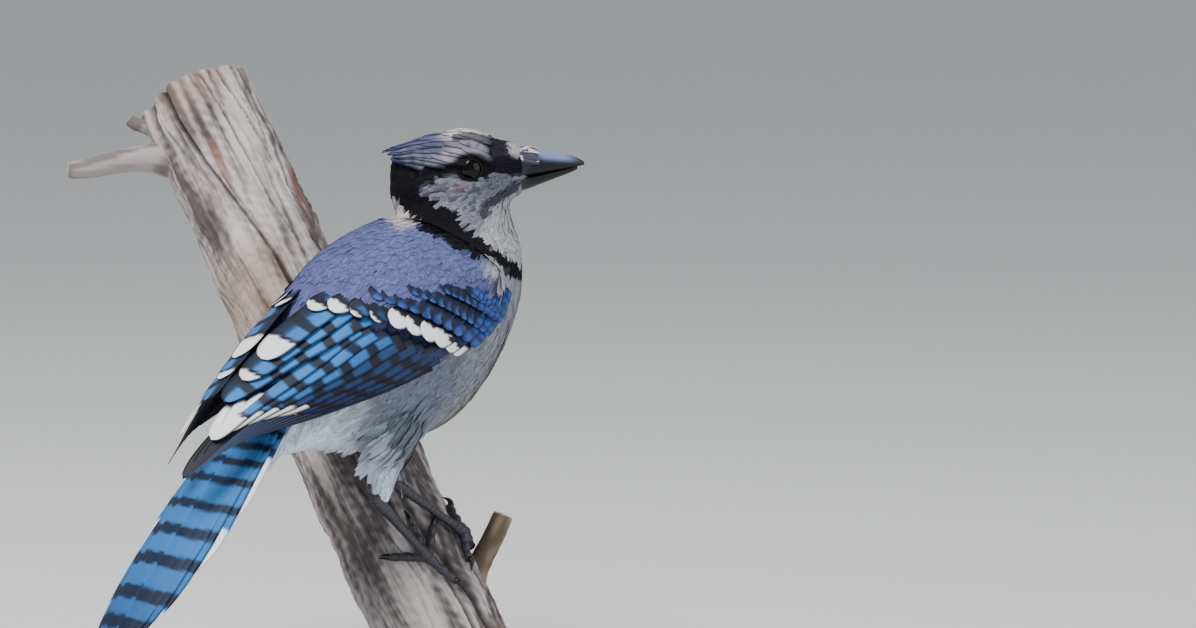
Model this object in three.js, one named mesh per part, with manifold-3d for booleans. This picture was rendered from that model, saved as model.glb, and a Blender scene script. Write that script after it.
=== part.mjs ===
// A blue jay gripping a cut length of weathered branch, held by a plain display stand.
// Millimetres, +Z up. The bird heads along +X, its left side is +Y.
// The origin is the centre of the underside of the stand's base.

import * as THREE from "three";
import Module from "manifold-3d";

const wasm = await Module();
wasm.setup();

// Driving dimensions
const GAP = 0.3; // clearance between neighbouring pieces
const TORSO_AT = [-8, -34, 140]; // middle of the body
const BODY_PITCH = 41.5; // body axis above the horizontal, degrees
const HEAD_YAW = -38; // head turned to the bird's right, degrees
const EYE_OFFSET = [26.7, -5.8, 56.4]; // mid-plane point at eye level, from the middle of the body
const EYE_RADIUS = 4.5;
const BASE_RADIUS = 92;
const BASE_HEIGHT = 12;
const ROD_RADIUS = 4;
const ROD_SPACING = 19;
const BRANCH_RADIUS = 21.5;
const BRANCH_AT = [9.3, 7.7, -82]; // point on the branch's axis by the feet, from the middle of the body
const BRANCH_LEAN = [0.045, 0.644, 0.7637];
const BRANCH_DOWN = 40; // length below that point
const BRANCH_UP = 205; // length above it
const CUT_LEVEL = 28; // height of the branch's level lower cut
const TAIL_LENGTH = 117;
const VANE_THICK = 0.6;

// Body stations: distance along the axis, half width, height above and below, centre offset
const TORSO = [
  [-66, 7, 5, 5, 16.5],
  [-57, 15, 9, 17, 15.5],
  [-45, 23.5, 15, 27, 12.5],
  [-30, 30, 21, 35, 9],
  [-12, 34.5, 27, 39.5, 4.5],
  [8, 35.5, 29.5, 36, 1.5],
  [28, 33, 25, 27.5, 0],
  [42, 26.5, 19.5, 20.5, 0.5],
  [52, 18, 13, 14, 2],
  [58, 8, 6, 7, 3],
];

// Folded wing surface: distance along the body axis, half width, height, centre offset
const WING_SHELL = [
  [34, 33, 26, 0],
  [5, 37.5, 32, 2],
  [-15, 36.5, 31, 4.5],
  [-35, 32, 28.5, 9],
  [-55, 25, 22.5, 15.5],
  [-75, 17.5, 14, 24],
  [-95, 11, 8, 27.5],
  [-116, 6, 4, 29],
];

// Head stations: distance ahead of the eye, top, bottom, half width
const HEAD = [
  [-27, 3, -13, 4],
  [-24, 7.4, -17, 8.5],
  [-18, 10, -20, 12],
  [-10, 12.4, -22, 14],
  [-1, 13.6, -20, 14.2],
  [6, 12.4, -17, 13],
  [11, 10.6, -14.5, 11],
  [15.5, 10.2, -12, 8.4],
  [19, 7.4, -9.6, 5.8],
  [21.5, 4, -7.6, 3.4],
];

// Neck stations: height from the eye, centre, half depth, half width
const NECK = [
  [-1, -6, 17, 12],
  [-11, -5.4, 20, 14.5],
  [-19, -5, 21.6, 16.8],
  [-27, -6, 22.6, 19.8],
  [-35, -8, 24.4, 22.8],
  [-45, -10, 27, 25.5],
  [-52, -11, 24, 23],
];

// Bill stations: distance ahead of the eye, top, bottom, half width
const BILL_UPPER = [
  [13, 6.4, -4.9, 5.2],
  [19, 6.2, -3.6, 4.9],
  [25, 5.9, -2.6, 3.9],
  [31, 5.3, -1.3, 2.9],
  [36, 4.4, -0.2, 1.9],
  [39.2, 3, 0.5, 1],
  [40.8, 1.9, 0.9, 0.4],
];
const BILL_LOWER = [
  [13, -5.3, -9.4, 4.8],
  [19, -4, -8.2, 4.5],
  [25, -3, -6, 3.5],
  [31, -1.7, -3.7, 2.4],
  [36, -0.6, -1.8, 1.3],
  [38.4, 0, -0.6, 0.4],
];

// Basic vectors
const vec = (x, y, z) => new THREE.Vector3(x, y, z);
const rad = (d) => (d * Math.PI) / 180;
const T0 = vec(...TORSO_AT);
const AXIS_F = vec(Math.cos(rad(BODY_PITCH)), 0, Math.sin(rad(BODY_PITCH)));
const AXIS_D = vec(-Math.sin(rad(BODY_PITCH)), 0, Math.cos(rad(BODY_PITCH)));
const AXIS_L = vec(0, 1, 0);
const HEAD_F = vec(Math.cos(rad(HEAD_YAW)), Math.sin(rad(HEAD_YAW)), 0);
const HEAD_L = vec(-Math.sin(rad(HEAD_YAW)), Math.cos(rad(HEAD_YAW)), 0);
const HEAD_U = vec(0, 0, 1);
const E0 = T0.clone().add(vec(...EYE_OFFSET));

const along = (origin, ...pairs) => {
  const p = origin.clone();
  for (let i = 0; i < pairs.length; i += 2) p.addScaledVector(pairs[i], pairs[i + 1]);
  return p;
};
const bodyPoint = (f, l, d) => along(T0, AXIS_F, f, AXIS_L, l, AXIS_D, d);
const headPoint = (f, l, u) => along(E0, HEAD_F, f, HEAD_L, l, HEAD_U, u);

// Smooth value of a station table at x: cubic curves through its rows
function station(table, x) {
  const up = table[1][0] > table[0][0] ? 1 : -1;
  let i = 0;
  while (i < table.length - 2 && (x - table[i + 1][0]) * up > 0) i += 1;
  const a = table[Math.max(i - 1, 0)];
  const b = table[i];
  const c = table[i + 1];
  const d = table[Math.min(i + 2, table.length - 1)];
  const h = c[0] - b[0];
  const t = Math.min(Math.max((x - b[0]) / h, 0), 1);
  const out = [];
  for (let k = 1; k < b.length; k += 1) {
    const m0 = ((c[k] - a[k]) / (c[0] - a[0] || 1)) * h;
    const m1 = ((d[k] - b[k]) / (d[0] - b[0] || 1)) * h;
    out.push(
      (2 * t ** 3 - 3 * t ** 2 + 1) * b[k] +
        (t ** 3 - 2 * t ** 2 + t) * m0 +
        (-2 * t ** 3 + 3 * t ** 2) * c[k] +
        (t ** 3 - t ** 2) * m1,
    );
  }
  return out;
}

// Closed solid through rings of points, each end closed on its own middle
function loft(rings) {
  const n = rings[0].length;
  const points = rings.flat();
  const middle = (ring) => ring.reduce((s, p) => s.add(p), vec(0, 0, 0)).multiplyScalar(1 / n);
  points.push(middle(rings[0]), middle(rings[rings.length - 1]));
  const first = points.length - 2;
  const tri = [];
  for (let r = 0; r < rings.length - 1; r += 1) {
    for (let k = 0; k < n; k += 1) {
      const a = r * n + k;
      const b = r * n + ((k + 1) % n);
      tri.push(a, b, b + n, a, b + n, a + n);
    }
  }
  const last = (rings.length - 1) * n;
  for (let k = 0; k < n; k += 1) {
    tri.push(first, (k + 1) % n, k);
    tri.push(first + 1, last + k, last + ((k + 1) % n));
  }
  const flat = new Float32Array(points.flatMap((p) => [p.x, p.y, p.z]));
  const build = (t) =>
    new wasm.Manifold(new wasm.Mesh({ numProp: 3, vertProperties: flat, triVerts: new Uint32Array(t) }));
  const made = build(tri);
  if (made.volume() > 0) return made;
  const turned = [];
  for (let i = 0; i < tri.length; i += 3) turned.push(tri[i], tri[i + 2], tri[i + 1]);
  return build(turned);
}

const join = (list) => list.reduce((a, b) => a.add(b));

// The largest closed surface of a solid
function largest(solid) {
  const bodies = solid.decompose();
  bodies.sort((a, b) => b.volume() - a.volume());
  return bodies[0];
}

// Closed oval ring: centre, side axis, up axis, half width, height above, depth below
function ovalRing(centre, side, up, a, above, below, count, grow = 0) {
  const ring = [];
  for (let k = 0; k < count; k += 1) {
    const t = (2 * Math.PI * k) / count;
    const c = Math.cos(t);
    const b = (c > 0 ? above : below) + grow;
    ring.push(along(centre, side, (a + grow) * Math.sin(t), up, b * c));
  }
  return ring;
}

// Rod-like tube along points, with a radius at each
function tube(points, radii, count) {
  const rings = points.map((p, i) => {
    const before = points[Math.max(i - 1, 0)];
    const after = points[Math.min(i + 1, points.length - 1)];
    const t = after.clone().sub(before).normalize();
    const ref = Math.abs(t.z) > 0.9 ? vec(1, 0, 0) : vec(0, 0, 1);
    const side = t.clone().cross(ref).normalize();
    const up = side.clone().cross(t);
    return ovalRing(p, side, up, radii[i], radii[i], radii[i], count);
  });
  return loft(rings);
}

// Ball squeezed to three half sizes
function ball(centre, x, y, z, rx, ry, rz, count = 16) {
  const rings = [];
  const steps = count / 2;
  for (let i = 1; i < steps; i += 1) {
    const t = (Math.PI * i) / steps;
    const c = along(centre, x, -rx * Math.cos(t));
    rings.push(ovalRing(c, y, z, ry * Math.sin(t), rz * Math.sin(t), rz * Math.sin(t), count));
  }
  return loft(rings);
}

// Torso
function torsoBody(grow = 0) {
  const rings = [];
  const stops = [-66, -62, -57, -49, -40, -30, -18, -5, 8, 20, 32, 42, 50, 58];
  for (const f of stops) {
    const [a, top, bottom, d] = station(TORSO, f);
    const ends = f === stops[0] ? -grow : f === 58 ? grow : 0;
    rings.push(ovalRing(bodyPoint(f + ends, 0, d), AXIS_L, AXIS_D, a, top, bottom, 24, grow));
  }
  return loft(rings);
}

// Soft cone of feathers under the root of the tail
function ventLobe(grow = 0) {
  const rows = [
    [-40, 10, 18, 12],
    [-52, 11.5, 14, 12],
    [-64, 14.5, 11.5, 9.5],
    [-76, 15.6, 8.5, 6],
    [-88, 14.4, 5, 3],
    [-95, 13.6, 2.2, 1.2],
  ];
  const rings = rows.map(([f, d, a, b]) =>
    ovalRing(bodyPoint(f, 0, d), AXIS_L, AXIS_D, a, b, b, 18, grow),
  );
  return loft(rings);
}

function neckBody(grow = 0) {
  const rings = NECK.map(([u, c, depth, width]) =>
    ovalRing(headPoint(c, 0, u), HEAD_L, HEAD_F, width, depth, depth, 22, grow),
  );
  return loft(rings);
}

function headBody(grow = 0) {
  const rings = [];
  for (const f of [-27, -24.5, -20, -14, -7, 0, 6, 11, 15, 18, 20.3, 21.5]) {
    const [top, bottom, width] = station(HEAD, f);
    const middle = (top + bottom) / 2;
    const ends = f === -27 ? -grow : f === 21.5 ? grow : 0;
    const centre = headPoint(f + ends, 0, middle);
    rings.push(ovalRing(centre, HEAD_L, HEAD_U, width, top - middle, middle - bottom, 22, grow));
  }
  return loft(rings);
}

// One vane: a thin cambered blade of three strips along a chart(u) that gives point, side and normal
function vane(chart, width, opts = {}) {
  const { steps = 5, thick = VANE_THICK, tilt = 0, bend = 30, blunt = 0.5 } = opts;
  const rings = [];
  for (let i = 0; i < steps; i += 1) {
    const u = i / (steps - 1);
    const { point, side, normal } = chart(u);
    const swell = 0.55 + 0.45 * Math.sin(Math.PI * Math.min(u * 0.85 + 0.08, 1));
    const tip = i === steps - 1 ? blunt : 1;
    const half = (width / 2) * swell * tip;
    const t = thick * (i === steps - 1 ? 0.6 : 1);
    const at = (y, h) =>
      along(point, side, y, normal, h - (y * y) / (2 * bend) + y * Math.tan(rad(tilt)));
    rings.push([
      at(-half, -t / 2),
      at(0, -t / 2),
      at(half, -t / 2),
      at(half, t / 2),
      at(0, t / 2 + 0.15),
      at(-half, t / 2),
    ]);
  }
  return loft(rings);
}

// A point on the folded wing: along the axis, angle from the back's middle, height off the surface
function wingPoint(sign, f, phi, h) {
  const [a, b, d] = station(WING_SHELL, f);
  const s = Math.sin(rad(phi));
  const c = Math.cos(rad(phi));
  return bodyPoint(f, sign * (a + h) * s, d + (b + h) * c);
}

// Chart of a feather that runs from one wing position to another
function wingPath(sign, from, to) {
  const place = (u, extra = 0) => {
    const f = from[0] + (to[0] - from[0]) * u;
    const phi = from[1] + (to[1] - from[1]) * u ** 0.9;
    const h = from[2] + (to[2] - from[2]) * u;
    return wingPoint(sign, f, phi, h + extra);
  };
  return (u) => {
    const point = place(u);
    const t = place(Math.min(u + 0.02, 1)).sub(place(Math.max(u - 0.02, 0))).normalize();
    const out = place(u, 1).sub(point).normalize();
    const side = t.clone().cross(out).normalize().multiplyScalar(-sign);
    const normal = side.clone().cross(t).multiplyScalar(-sign).normalize();
    return { point, side, normal };
  };
}

// Flat core of the folded wing: arm and feather bases, let into the side of the body
const CORE = [
  [24, 84, 62],
  [19, 98, 46],
  [10, 103, 34],
  [-4, 104, 26],
  [-18, 98, 22],
  [-31, 88, 22],
  [-40, 76, 30],
];
function wingCore(sign, grow = 0) {
  const rings = CORE.map(([f, low, high], i) => {
    const ends = i === 0 ? grow : i === CORE.length - 1 ? -grow : 0;
    const [a] = station(WING_SHELL, f);
    const more = (grow / a) * 57.3;
    const ring = [];
    for (let k = 0; k <= 7; k += 1) {
      const phi = low + more + ((high - low - 2 * more) * k) / 7;
      ring.push(wingPoint(sign, f + ends, phi, 1.4 + grow));
    }
    for (let k = 7; k >= 0; k -= 1) {
      const phi = low + more + ((high - low - 2 * more) * k) / 7;
      ring.push(wingPoint(sign, f + ends, phi, -3.4 - grow));
    }
    return ring;
  });
  return loft(rings);
}

// Feather tiers of a wing. Roots and tips are given for the first and the last feather.
const TIERS = [
  // Primaries
  {
    count: 6,
    root: [[-20, 88, 0.8], [-30, 66, 1.2]],
    tip: [[-76, 54, 1.2], [-105, 38, 1.4]],
    width: [10, 12],
    tilt: 5,
    steps: 4,
  },
  // Secondaries
  {
    count: 6,
    root: [[-18, 84, 1], [-28, 46, 1.4]],
    tip: [[-62, 58, 3.2], [-85, 31, 2.8]],
    width: [12.5, 13.5],
    tilt: 4,
    steps: 4,
  },
  // Tertials
  {
    count: 3,
    root: [[-22, 46, 1.2], [-14, 34, 1.4]],
    tip: [[-71, 25, 4.2], [-54, 22, 4.8]],
    width: [13, 14],
    tilt: 3,
    steps: 4,
  },
  // Primary coverts
  {
    count: 3,
    root: [[8, 100, 0.9], [0, 86, 0.9]],
    tip: [[-34, 95, 2.6], [-30, 84, 3]],
    width: [8, 9],
    tilt: 4,
    steps: 3,
  },
  // Greater coverts
  {
    count: 6,
    root: [[8, 90, 0.9], [-8, 34, 0.9]],
    tip: [[-11, 89, 4.2], [-27, 14, 4.4]],
    width: [10.5, 11.5],
    tilt: 3,
    steps: 3,
  },
  // Median coverts
  {
    count: 5,
    root: [[16, 92, 0.9], [4, 36, 0.9]],
    tip: [[-1, 92, 4.6], [-13, 22, 5.2]],
    width: [11.5, 13],
    tilt: 2,
    steps: 3,
  },
];

const mix = (a, b, t) => a.map((v, i) => v + (b[i] - v) * t);

function wing(sign) {
  const pieces = [wingCore(sign)];
  for (const tier of TIERS) {
    for (let i = 0; i < tier.count; i += 1) {
      const t = tier.count > 1 ? i / (tier.count - 1) : 0;
      const from = mix(tier.root[0], tier.root[1], t);
      const to = mix(tier.tip[0], tier.tip[1], t);
      const width = tier.width[0] + (tier.width[1] - tier.width[0]) * t;
      const chart = wingPath(sign, from, to);
      pieces.push(vane(chart, width, { steps: tier.steps, tilt: -tier.tilt, bend: 34 }));
    }
  }
  return join(pieces);
}

// Tail
const TAIL_ROOT = bodyPoint(-46, 0, 25.5);
function tailPoint(s, y, h) {
  const bend = rad(BODY_PITCH + 4.5 + 6 * (s / TAIL_LENGTH));
  const mid = rad(BODY_PITCH + 4.5 + 3 * (s / TAIL_LENGTH));
  const back = vec(-Math.cos(mid), 0, -Math.sin(mid));
  const up = vec(-Math.sin(bend), 0, Math.cos(bend));
  return along(TAIL_ROOT, back, s, AXIS_L, y, up, h);
}

function tailCore(grow = 0) {
  const rows = [
    [-3, 6.5, 4.2],
    [6, 9, 4.6],
    [16, 10, 3.8],
    [26, 9.6, 2.4],
  ];
  const rings = rows.map(([s, a, b], i) => {
    const ends = i === 0 ? -grow : i === rows.length - 1 ? grow : 0;
    const centre = tailPoint(s + ends, 0, -1.8);
    const up = tailPoint(s, 0, 1).sub(tailPoint(s, 0, 0));
    return ovalRing(centre, AXIS_L, up, a, b, b, 14, grow);
  });
  return loft(rings);
}

// Shortfall of each tail feather behind the middle pair, and its place across the tail
const RECTRICES = [
  [0, 2.4],
  [1, 5],
  [4, 7.4],
  [12, 9.6],
  [33, 11.8],
  [55, 13.4],
];
function tailFeather(sign, index, grow = 0) {
  const [shortfall, place] = RECTRICES[index];
  const length = TAIL_LENGTH - shortfall;
  const layer = 1.3 - index * 0.95 + (sign > 0 ? 0.47 : 0);
  const at = (u, extra = 0) => {
    const s = 6 + (length - 6) * u;
    const spread = 0.3 + 0.7 * Math.min(s / 70, 1) ** 0.8;
    const y = sign * place * spread;
    const arch = -(y * y) / 90;
    return tailPoint(s, y, layer * (0.5 + 0.5 * u) + arch + extra);
  };
  const chart = (u) => {
    const point = at(u);
    const t = at(Math.min(u + 0.02, 1)).sub(at(Math.max(u - 0.02, 0))).normalize();
    const normal = at(u, 1).sub(point).normalize();
    const side = normal.clone().cross(t).normalize();
    return { point, side, normal };
  };
  const thick = VANE_THICK + 2 * grow;
  return vane(chart, 13.5 + 2 * grow, { thick, tilt: sign * 1.5, bend: 60, blunt: 0.55 });
}

function tail(grow = 0) {
  const pieces = [tailCore(grow)];
  for (const sign of [-1, 1]) {
    for (let i = 0; i < 6; i += 1) pieces.push(tailFeather(sign, i, grow));
  }
  return join(pieces);
}

// Branch surface: along the axis from the point by the feet, angle round it, height off the bark
const BRANCH_T = vec(...BRANCH_LEAN).normalize();
const BRANCH_A = vec(1, 0, 0).addScaledVector(BRANCH_T, -BRANCH_T.x).normalize();
const BRANCH_B = BRANCH_T.clone().cross(BRANCH_A);
const BRANCH_0 = T0.clone().add(vec(...BRANCH_AT));
function branchRadius(t, angle) {
  const slim = 1 - 0.02 * ((t + 40) / 245);
  const twist = angle + t * 0.008;
  const knot = Math.exp(-(((t - 83) / 16) ** 2) - ((Math.sin((angle - 4.1) / 2) / 0.35) ** 2));
  return (
    BRANCH_RADIUS * slim +
    0.7 * Math.sin(3 * twist + 0.6) +
    0.45 * Math.sin(5 * twist + t * 0.02 + 2) +
    0.3 * Math.sin(2 * twist - t * 0.05) +
    1.4 * knot
  );
}
function branchPoint(t, angle, h = 0) {
  const r = branchRadius(t, angle) + h;
  return along(BRANCH_0, BRANCH_T, t, BRANCH_A, r * Math.cos(angle), BRANCH_B, r * Math.sin(angle));
}

function perch() {
  const rings = [];
  const count = 20;
  const bottom = -BRANCH_DOWN - 18;
  for (let i = 0; i <= 18; i += 1) {
    const t = bottom + ((BRANCH_UP - bottom) * i) / 18;
    const ring = [];
    for (let k = 0; k < count; k += 1) ring.push(branchPoint(t, (2 * Math.PI * k) / count));
    rings.push(ring);
  }
  let body = loft(rings);
  for (const twig of TWIGS) body = body.add(branchTwig(twig));
  return largest(body.trimByPlane([0, 0, 1], CUT_LEVEL));
}

// Twigs: place along the branch, angle round it, direction, length, root and tip radius, bend
const TWIGS = [
  { at: 184, angle: 2.7, go: [-0.74, 0.66, -0.02], length: 34, root: 5.6, tip: 3.1, bend: [0, 0, -3] },
  { at: 198, angle: 2.5, go: [-0.7, 0.55, 0.3], length: 8, root: 4.2, tip: 2.2, bend: [0, 0, 1] },
  { at: -20, angle: -0.16, go: [0.36, -0.2, 0.91], length: 27, root: 4.4, tip: 3.6, bend: [0, 0, 0] },
];
function branchTwig({ at, angle, go, length, root, tip, bend }) {
  const start = branchPoint(at, angle, -6);
  const dir = vec(...go).normalize();
  const points = [];
  const radii = [];
  for (let i = 0; i <= 5; i += 1) {
    const u = i / 5;
    points.push(along(start, dir, (length + 6) * u, vec(...bend), u * u));
    radii.push(root * (1 - u) + tip * u + 1.6 * Math.exp(-((u - 0.1) ** 2) / 0.02));
  }
  return tube(points, radii, 9);
}

// Legs
const LEGS = {
  right: { lobe: [-16, -17, -27], heel: [-25.6, -19.4, -57], foot: [-14, -2.05], full: 0.86 },
  left: { lobe: [-8, 11, -27], heel: [-4, -4, -54], foot: [-6, -1.3], full: 0.78 },
};

function thigh({ lobe, heel, full }, grow = 0) {
  const top = along(T0, vec(...lobe), 1);
  const low = along(T0, vec(...heel), 1);
  const dir = low.clone().sub(top).normalize();
  const points = [];
  const radii = [];
  const rows = [
    [-0.3, 6],
    [-0.15, 10.5],
    [0.05, 13],
    [0.28, 11.8],
    [0.5, 8.6],
    [0.7, 5.4],
    [0.86, 3.4],
    [0.97, 2.5],
  ];
  const length = low.distanceTo(top);
  for (const [u, r] of rows) {
    const ends = u === -0.3 ? -grow : u === 0.97 ? grow : 0;
    points.push(along(top, dir, u * length + ends));
    radii.push(r * full + grow);
  }
  return tube(points, radii, 16);
}

function footCentre(leg) {
  const [t, angle] = leg.foot;
  return branchPoint(t, angle, 4.2);
}

function tarsus(leg) {
  const heel = along(T0, vec(...leg.heel), 1);
  const foot = footCentre(leg);
  const dir = foot.clone().sub(heel);
  const rows = [
    [0, 2.2],
    [0.08, 2.3],
    [0.2, 1.7],
    [0.5, 1.5],
    [0.8, 1.6],
    [0.95, 2.1],
    [1, 2],
  ];
  return tube(
    rows.map(([u]) => along(heel, dir, u)),
    rows.map(([, r]) => r),
    10,
  );
}

// Toe along the bark: list of steps along and round the branch, toe height, then the claw
function toe(leg, along1, around, length, grow) {
  const [t, angle] = leg.foot;
  const norm = Math.hypot(along1, around);
  const points = [];
  const radii = [];
  const rows = [
    [0, 4.2, 2],
    [0.16, 3.8, 1.9],
    [0.34, 2.5, 1.5],
    [0.5, 2.7, 1.75],
    [0.66, 2.1, 1.3],
    [0.82, 2.3, 1.6],
    [1, 1.75, 1.1],
  ];
  const place = (s, h) => {
    const d = length * s;
    return branchPoint(t + (d * along1) / norm, angle + (d * around) / norm / 23.5, h);
  };
  for (const [s, h, r] of rows) {
    points.push(place(s, h));
    radii.push(r + grow);
  }
  const digit = tube(points, radii, 6);
  const claw = tube(
    [place(0.9, 2.1), place(1.04, 2.9), place(1.16, 2.9), place(1.27, 2.0), place(1.34, 1)],
    [0.9, 1.15, 0.9, 0.6, 0.3],
    5,
  );
  return digit.add(claw);
}

const TOES = {
  right: [
    [0.5, -0.85, 14],
    [1, 0, 16],
    [0.85, 0.5, 15],
    [-0.85, 0.5, 13],
  ],
  left: [
    [0.9, 0.3, 15],
    [0.4, 0.9, 17],
    [0, 0.95, 12],
    [-0.8, -0.1, 11],
  ],
};

function foot(name, grow = 0) {
  const leg = LEGS[name];
  const r = 2.6 + grow;
  const pad = ball(footCentre(leg), BRANCH_T, BRANCH_A, BRANCH_B, r, r, r, 8);
  return join([pad, ...TOES[name].map(([a, b, length]) => toe(leg, a, b, length, grow))]);
}

// Head details
function crest() {
  const pieces = [];
  const rows = [
    { from: 1, count: 3, length: 19, spread: 4.2, lift: 0.2 },
    { from: -6, count: 4, length: 20, spread: 3.6, lift: 0.6 },
    { from: -12, count: 3, length: 19.5, spread: 3.2, lift: 0.9 },
  ];
  for (const row of rows) {
    for (let i = 0; i < row.count; i += 1) {
      const across = i - (row.count - 1) / 2;
      const at = (u, extra = 0) => {
        const f = row.from - row.length * u * (1 - 0.05 * Math.abs(across));
        const y = across * row.spread * (1 - 0.25 * u);
        const [top, bottom, width] = station(HEAD, Math.max(f, -20));
        const middle = (top + bottom) / 2;
        const fall = Math.max(-20 - f, 0);
        const dome = Math.sqrt(Math.max(1 - (y / Math.max(width, 6)) ** 2, 0.2));
        const z = middle + (top - middle) * dome - fall * 0.42;
        return headPoint(f, y, z - 0.8 + u * (1.6 + row.lift) + extra);
      };
      const chart = (u) => {
        const point = at(u);
        const t = at(Math.min(u + 0.02, 1)).sub(at(Math.max(u - 0.02, 0))).normalize();
        const ref = HEAD_U.clone().addScaledVector(HEAD_L, across * 0.25).normalize();
        const side = ref.clone().cross(t).normalize();
        const normal = t.clone().cross(side).normalize();
        return { point, side, normal };
      };
      pieces.push(vane(chart, 7, { steps: 4, bend: 9, blunt: 0.3 }));
    }
  }
  return pieces;
}

const EYE_FORWARD = 0.2;
function eyeCentre(sign, depth) {
  return headPoint(EYE_FORWARD, sign * depth, 0.2);
}

function eyeBall(sign, grow = 0) {
  const r = EYE_RADIUS + grow;
  return ball(eyeCentre(sign, 10.9), HEAD_L, HEAD_F, HEAD_U, r, r, r, 14);
}

// Eye: the ball, flattened where it lies in the head
function eye(sign) {
  return eyeBall(sign).intersect(ball(eyeCentre(sign, 11.6), HEAD_L, HEAD_F, HEAD_U, 4.4, 6, 6, 12));
}

// Ring of the lids round an eye
function lids(sign) {
  const rings = [];
  const count = 14;
  const centre = eyeCentre(sign, 13.4);
  for (let i = 0; i < count; i += 1) {
    const t = (2 * Math.PI * i) / count;
    const out = along(vec(0, 0, 0), HEAD_F, Math.cos(t), HEAD_U, Math.sin(t) * 0.9);
    const c = along(centre, out, 4.35);
    const ring = [];
    for (let k = 0; k < 6; k += 1) {
      const w = (2 * Math.PI * k) / 6;
      ring.push(along(c, out, 0.9 * Math.cos(w), HEAD_L, sign * 1.0 * Math.sin(w)));
    }
    rings.push(ring);
  }
  return closedLoft(rings);
}

// Closed solid through rings of points that come round to the first ring
function closedLoft(rings) {
  const n = rings[0].length;
  const m = rings.length;
  const flat = new Float32Array(rings.flat().flatMap((p) => [p.x, p.y, p.z]));
  const tri = [];
  for (let r = 0; r < m; r += 1) {
    for (let k = 0; k < n; k += 1) {
      const a = r * n + k;
      const b = r * n + ((k + 1) % n);
      const c = ((r + 1) % m) * n + ((k + 1) % n);
      const d = ((r + 1) % m) * n + k;
      tri.push(a, b, c, a, c, d);
    }
  }
  const build = (t) =>
    new wasm.Manifold(new wasm.Mesh({ numProp: 3, vertProperties: flat, triVerts: new Uint32Array(t) }));
  const made = build(tri);
  if (made.volume() > 0) return made;
  const turned = [];
  for (let i = 0; i < tri.length; i += 3) turned.push(tri[i], tri[i + 2], tri[i + 1]);
  return build(turned);
}

function billPart(table, stops) {
  const rings = stops.map((f) => {
    const [top, bottom, width] = station(table, f);
    const middle = (top + bottom) / 2;
    return ovalRing(headPoint(f, 0, middle), HEAD_L, HEAD_U, width, top - middle, middle - bottom, 12);
  });
  return loft(rings);
}

function upperBill() {
  const bill = billPart(BILL_UPPER, [13, 16, 19, 22, 25, 28, 31, 34, 36.5, 39, 40.8]);
  let cut = bill.subtract(headBody(GAP));
  for (const sign of [-1, 1]) {
    const nostril = ball(headPoint(24.4, sign * 4.2, 3), HEAD_F, HEAD_L, HEAD_U, 1.5, 0.7, 0.6, 8);
    cut = cut.subtract(nostril);
  }
  return largest(cut);
}

function lowerBill() {
  const bill = billPart(BILL_LOWER, [13, 16, 19, 22, 25, 28, 31, 34, 36, 38.4]);
  return largest(bill.subtract(headBody(GAP)));
}

// Stand
function standBase() {
  const profile = [
    [0, 0],
    [BASE_RADIUS - 1, 0],
    [BASE_RADIUS, 1],
    [BASE_RADIUS, BASE_HEIGHT - 2],
    [BASE_RADIUS - 2, BASE_HEIGHT],
    [0, BASE_HEIGHT],
  ].map(([x, y]) => new THREE.Vector2(x, y));
  const turned = new THREE.LatheGeometry(profile, 36);
  turned.rotateX(Math.PI / 2);
  return turned;
}

function standRod() {
  const height = CUT_LEVEL - BASE_HEIGHT - 2 * GAP;
  const rod = new THREE.CylinderGeometry(ROD_RADIUS, ROD_RADIUS, height, 16);
  rod.rotateX(Math.PI / 2);
  rod.translate(0, 0, height / 2);
  return rod;
}

// Materials
const material = (color, roughness, metalness = 0) =>
  new THREE.MeshStandardMaterial({ color, roughness, metalness });
const MATERIALS = {
  mantle: material(0x5a66a0, 0.8),
  head: material(0xa3a8bd, 0.8),
  neck: material(0xb9bcc8, 0.8),
  wing: material(0x2f66b5, 0.65),
  tail: material(0x2f7cc0, 0.65),
  thigh: material(0xc2c2c6, 0.85),
  bill_upper: material(0x434a58, 0.4),
  bill_lower: material(0x24262c, 0.4),
  eye: material(0x0c0a0a, 0.08),
  leg: material(0x2c2a30, 0.55),
  branch: material(0xa79f9d, 0.9),
  base: material(0x3a3a3c, 0.6),
  rod: material(0x8c8f93, 0.35, 1),
};

const jay = new THREE.Group();
function add(name, shape, slot) {
  let geometry = shape;
  if (!shape.isBufferGeometry) {
    const mesh = shape.getMesh();
    geometry = new THREE.BufferGeometry();
    geometry.setAttribute("position", new THREE.BufferAttribute(new Float32Array(mesh.vertProperties), 3));
    geometry.setIndex(new THREE.BufferAttribute(new Uint32Array(mesh.triVerts), 1));
    geometry.computeVertexNormals();
  }
  const piece = new THREE.Mesh(geometry, MATERIALS[slot]);
  piece.name = name;
  jay.add(piece);
  return piece;
}

// Whole bird, parted by thin cuts
const coreRight = wingCore(-1, GAP);
const coreLeft = wingCore(1, GAP);
const legLobes = [thigh(LEGS.right), thigh(LEGS.left)];

const headCut = headPoint(0, 0, -15).z;
const neckCut = headPoint(0, 0, -37).z;
const bodyMass = join([torsoBody(), ventLobe(), neckBody(), headBody()]);

const headMass = bodyMass.trimByPlane([0, 0, 1], headCut + GAP / 2);
const headWhole = join([headMass, ...crest(), lids(-1), lids(1)]);
add("head", largest(headWhole.subtract(eyeBall(-1, GAP)).subtract(eyeBall(1, GAP))), "head");
add("eye_right", eye(-1), "eye");
add("eye_left", eye(1), "eye");
add("bill_upper", upperBill(), "bill_upper");
add("bill_lower", lowerBill(), "bill_lower");

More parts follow.
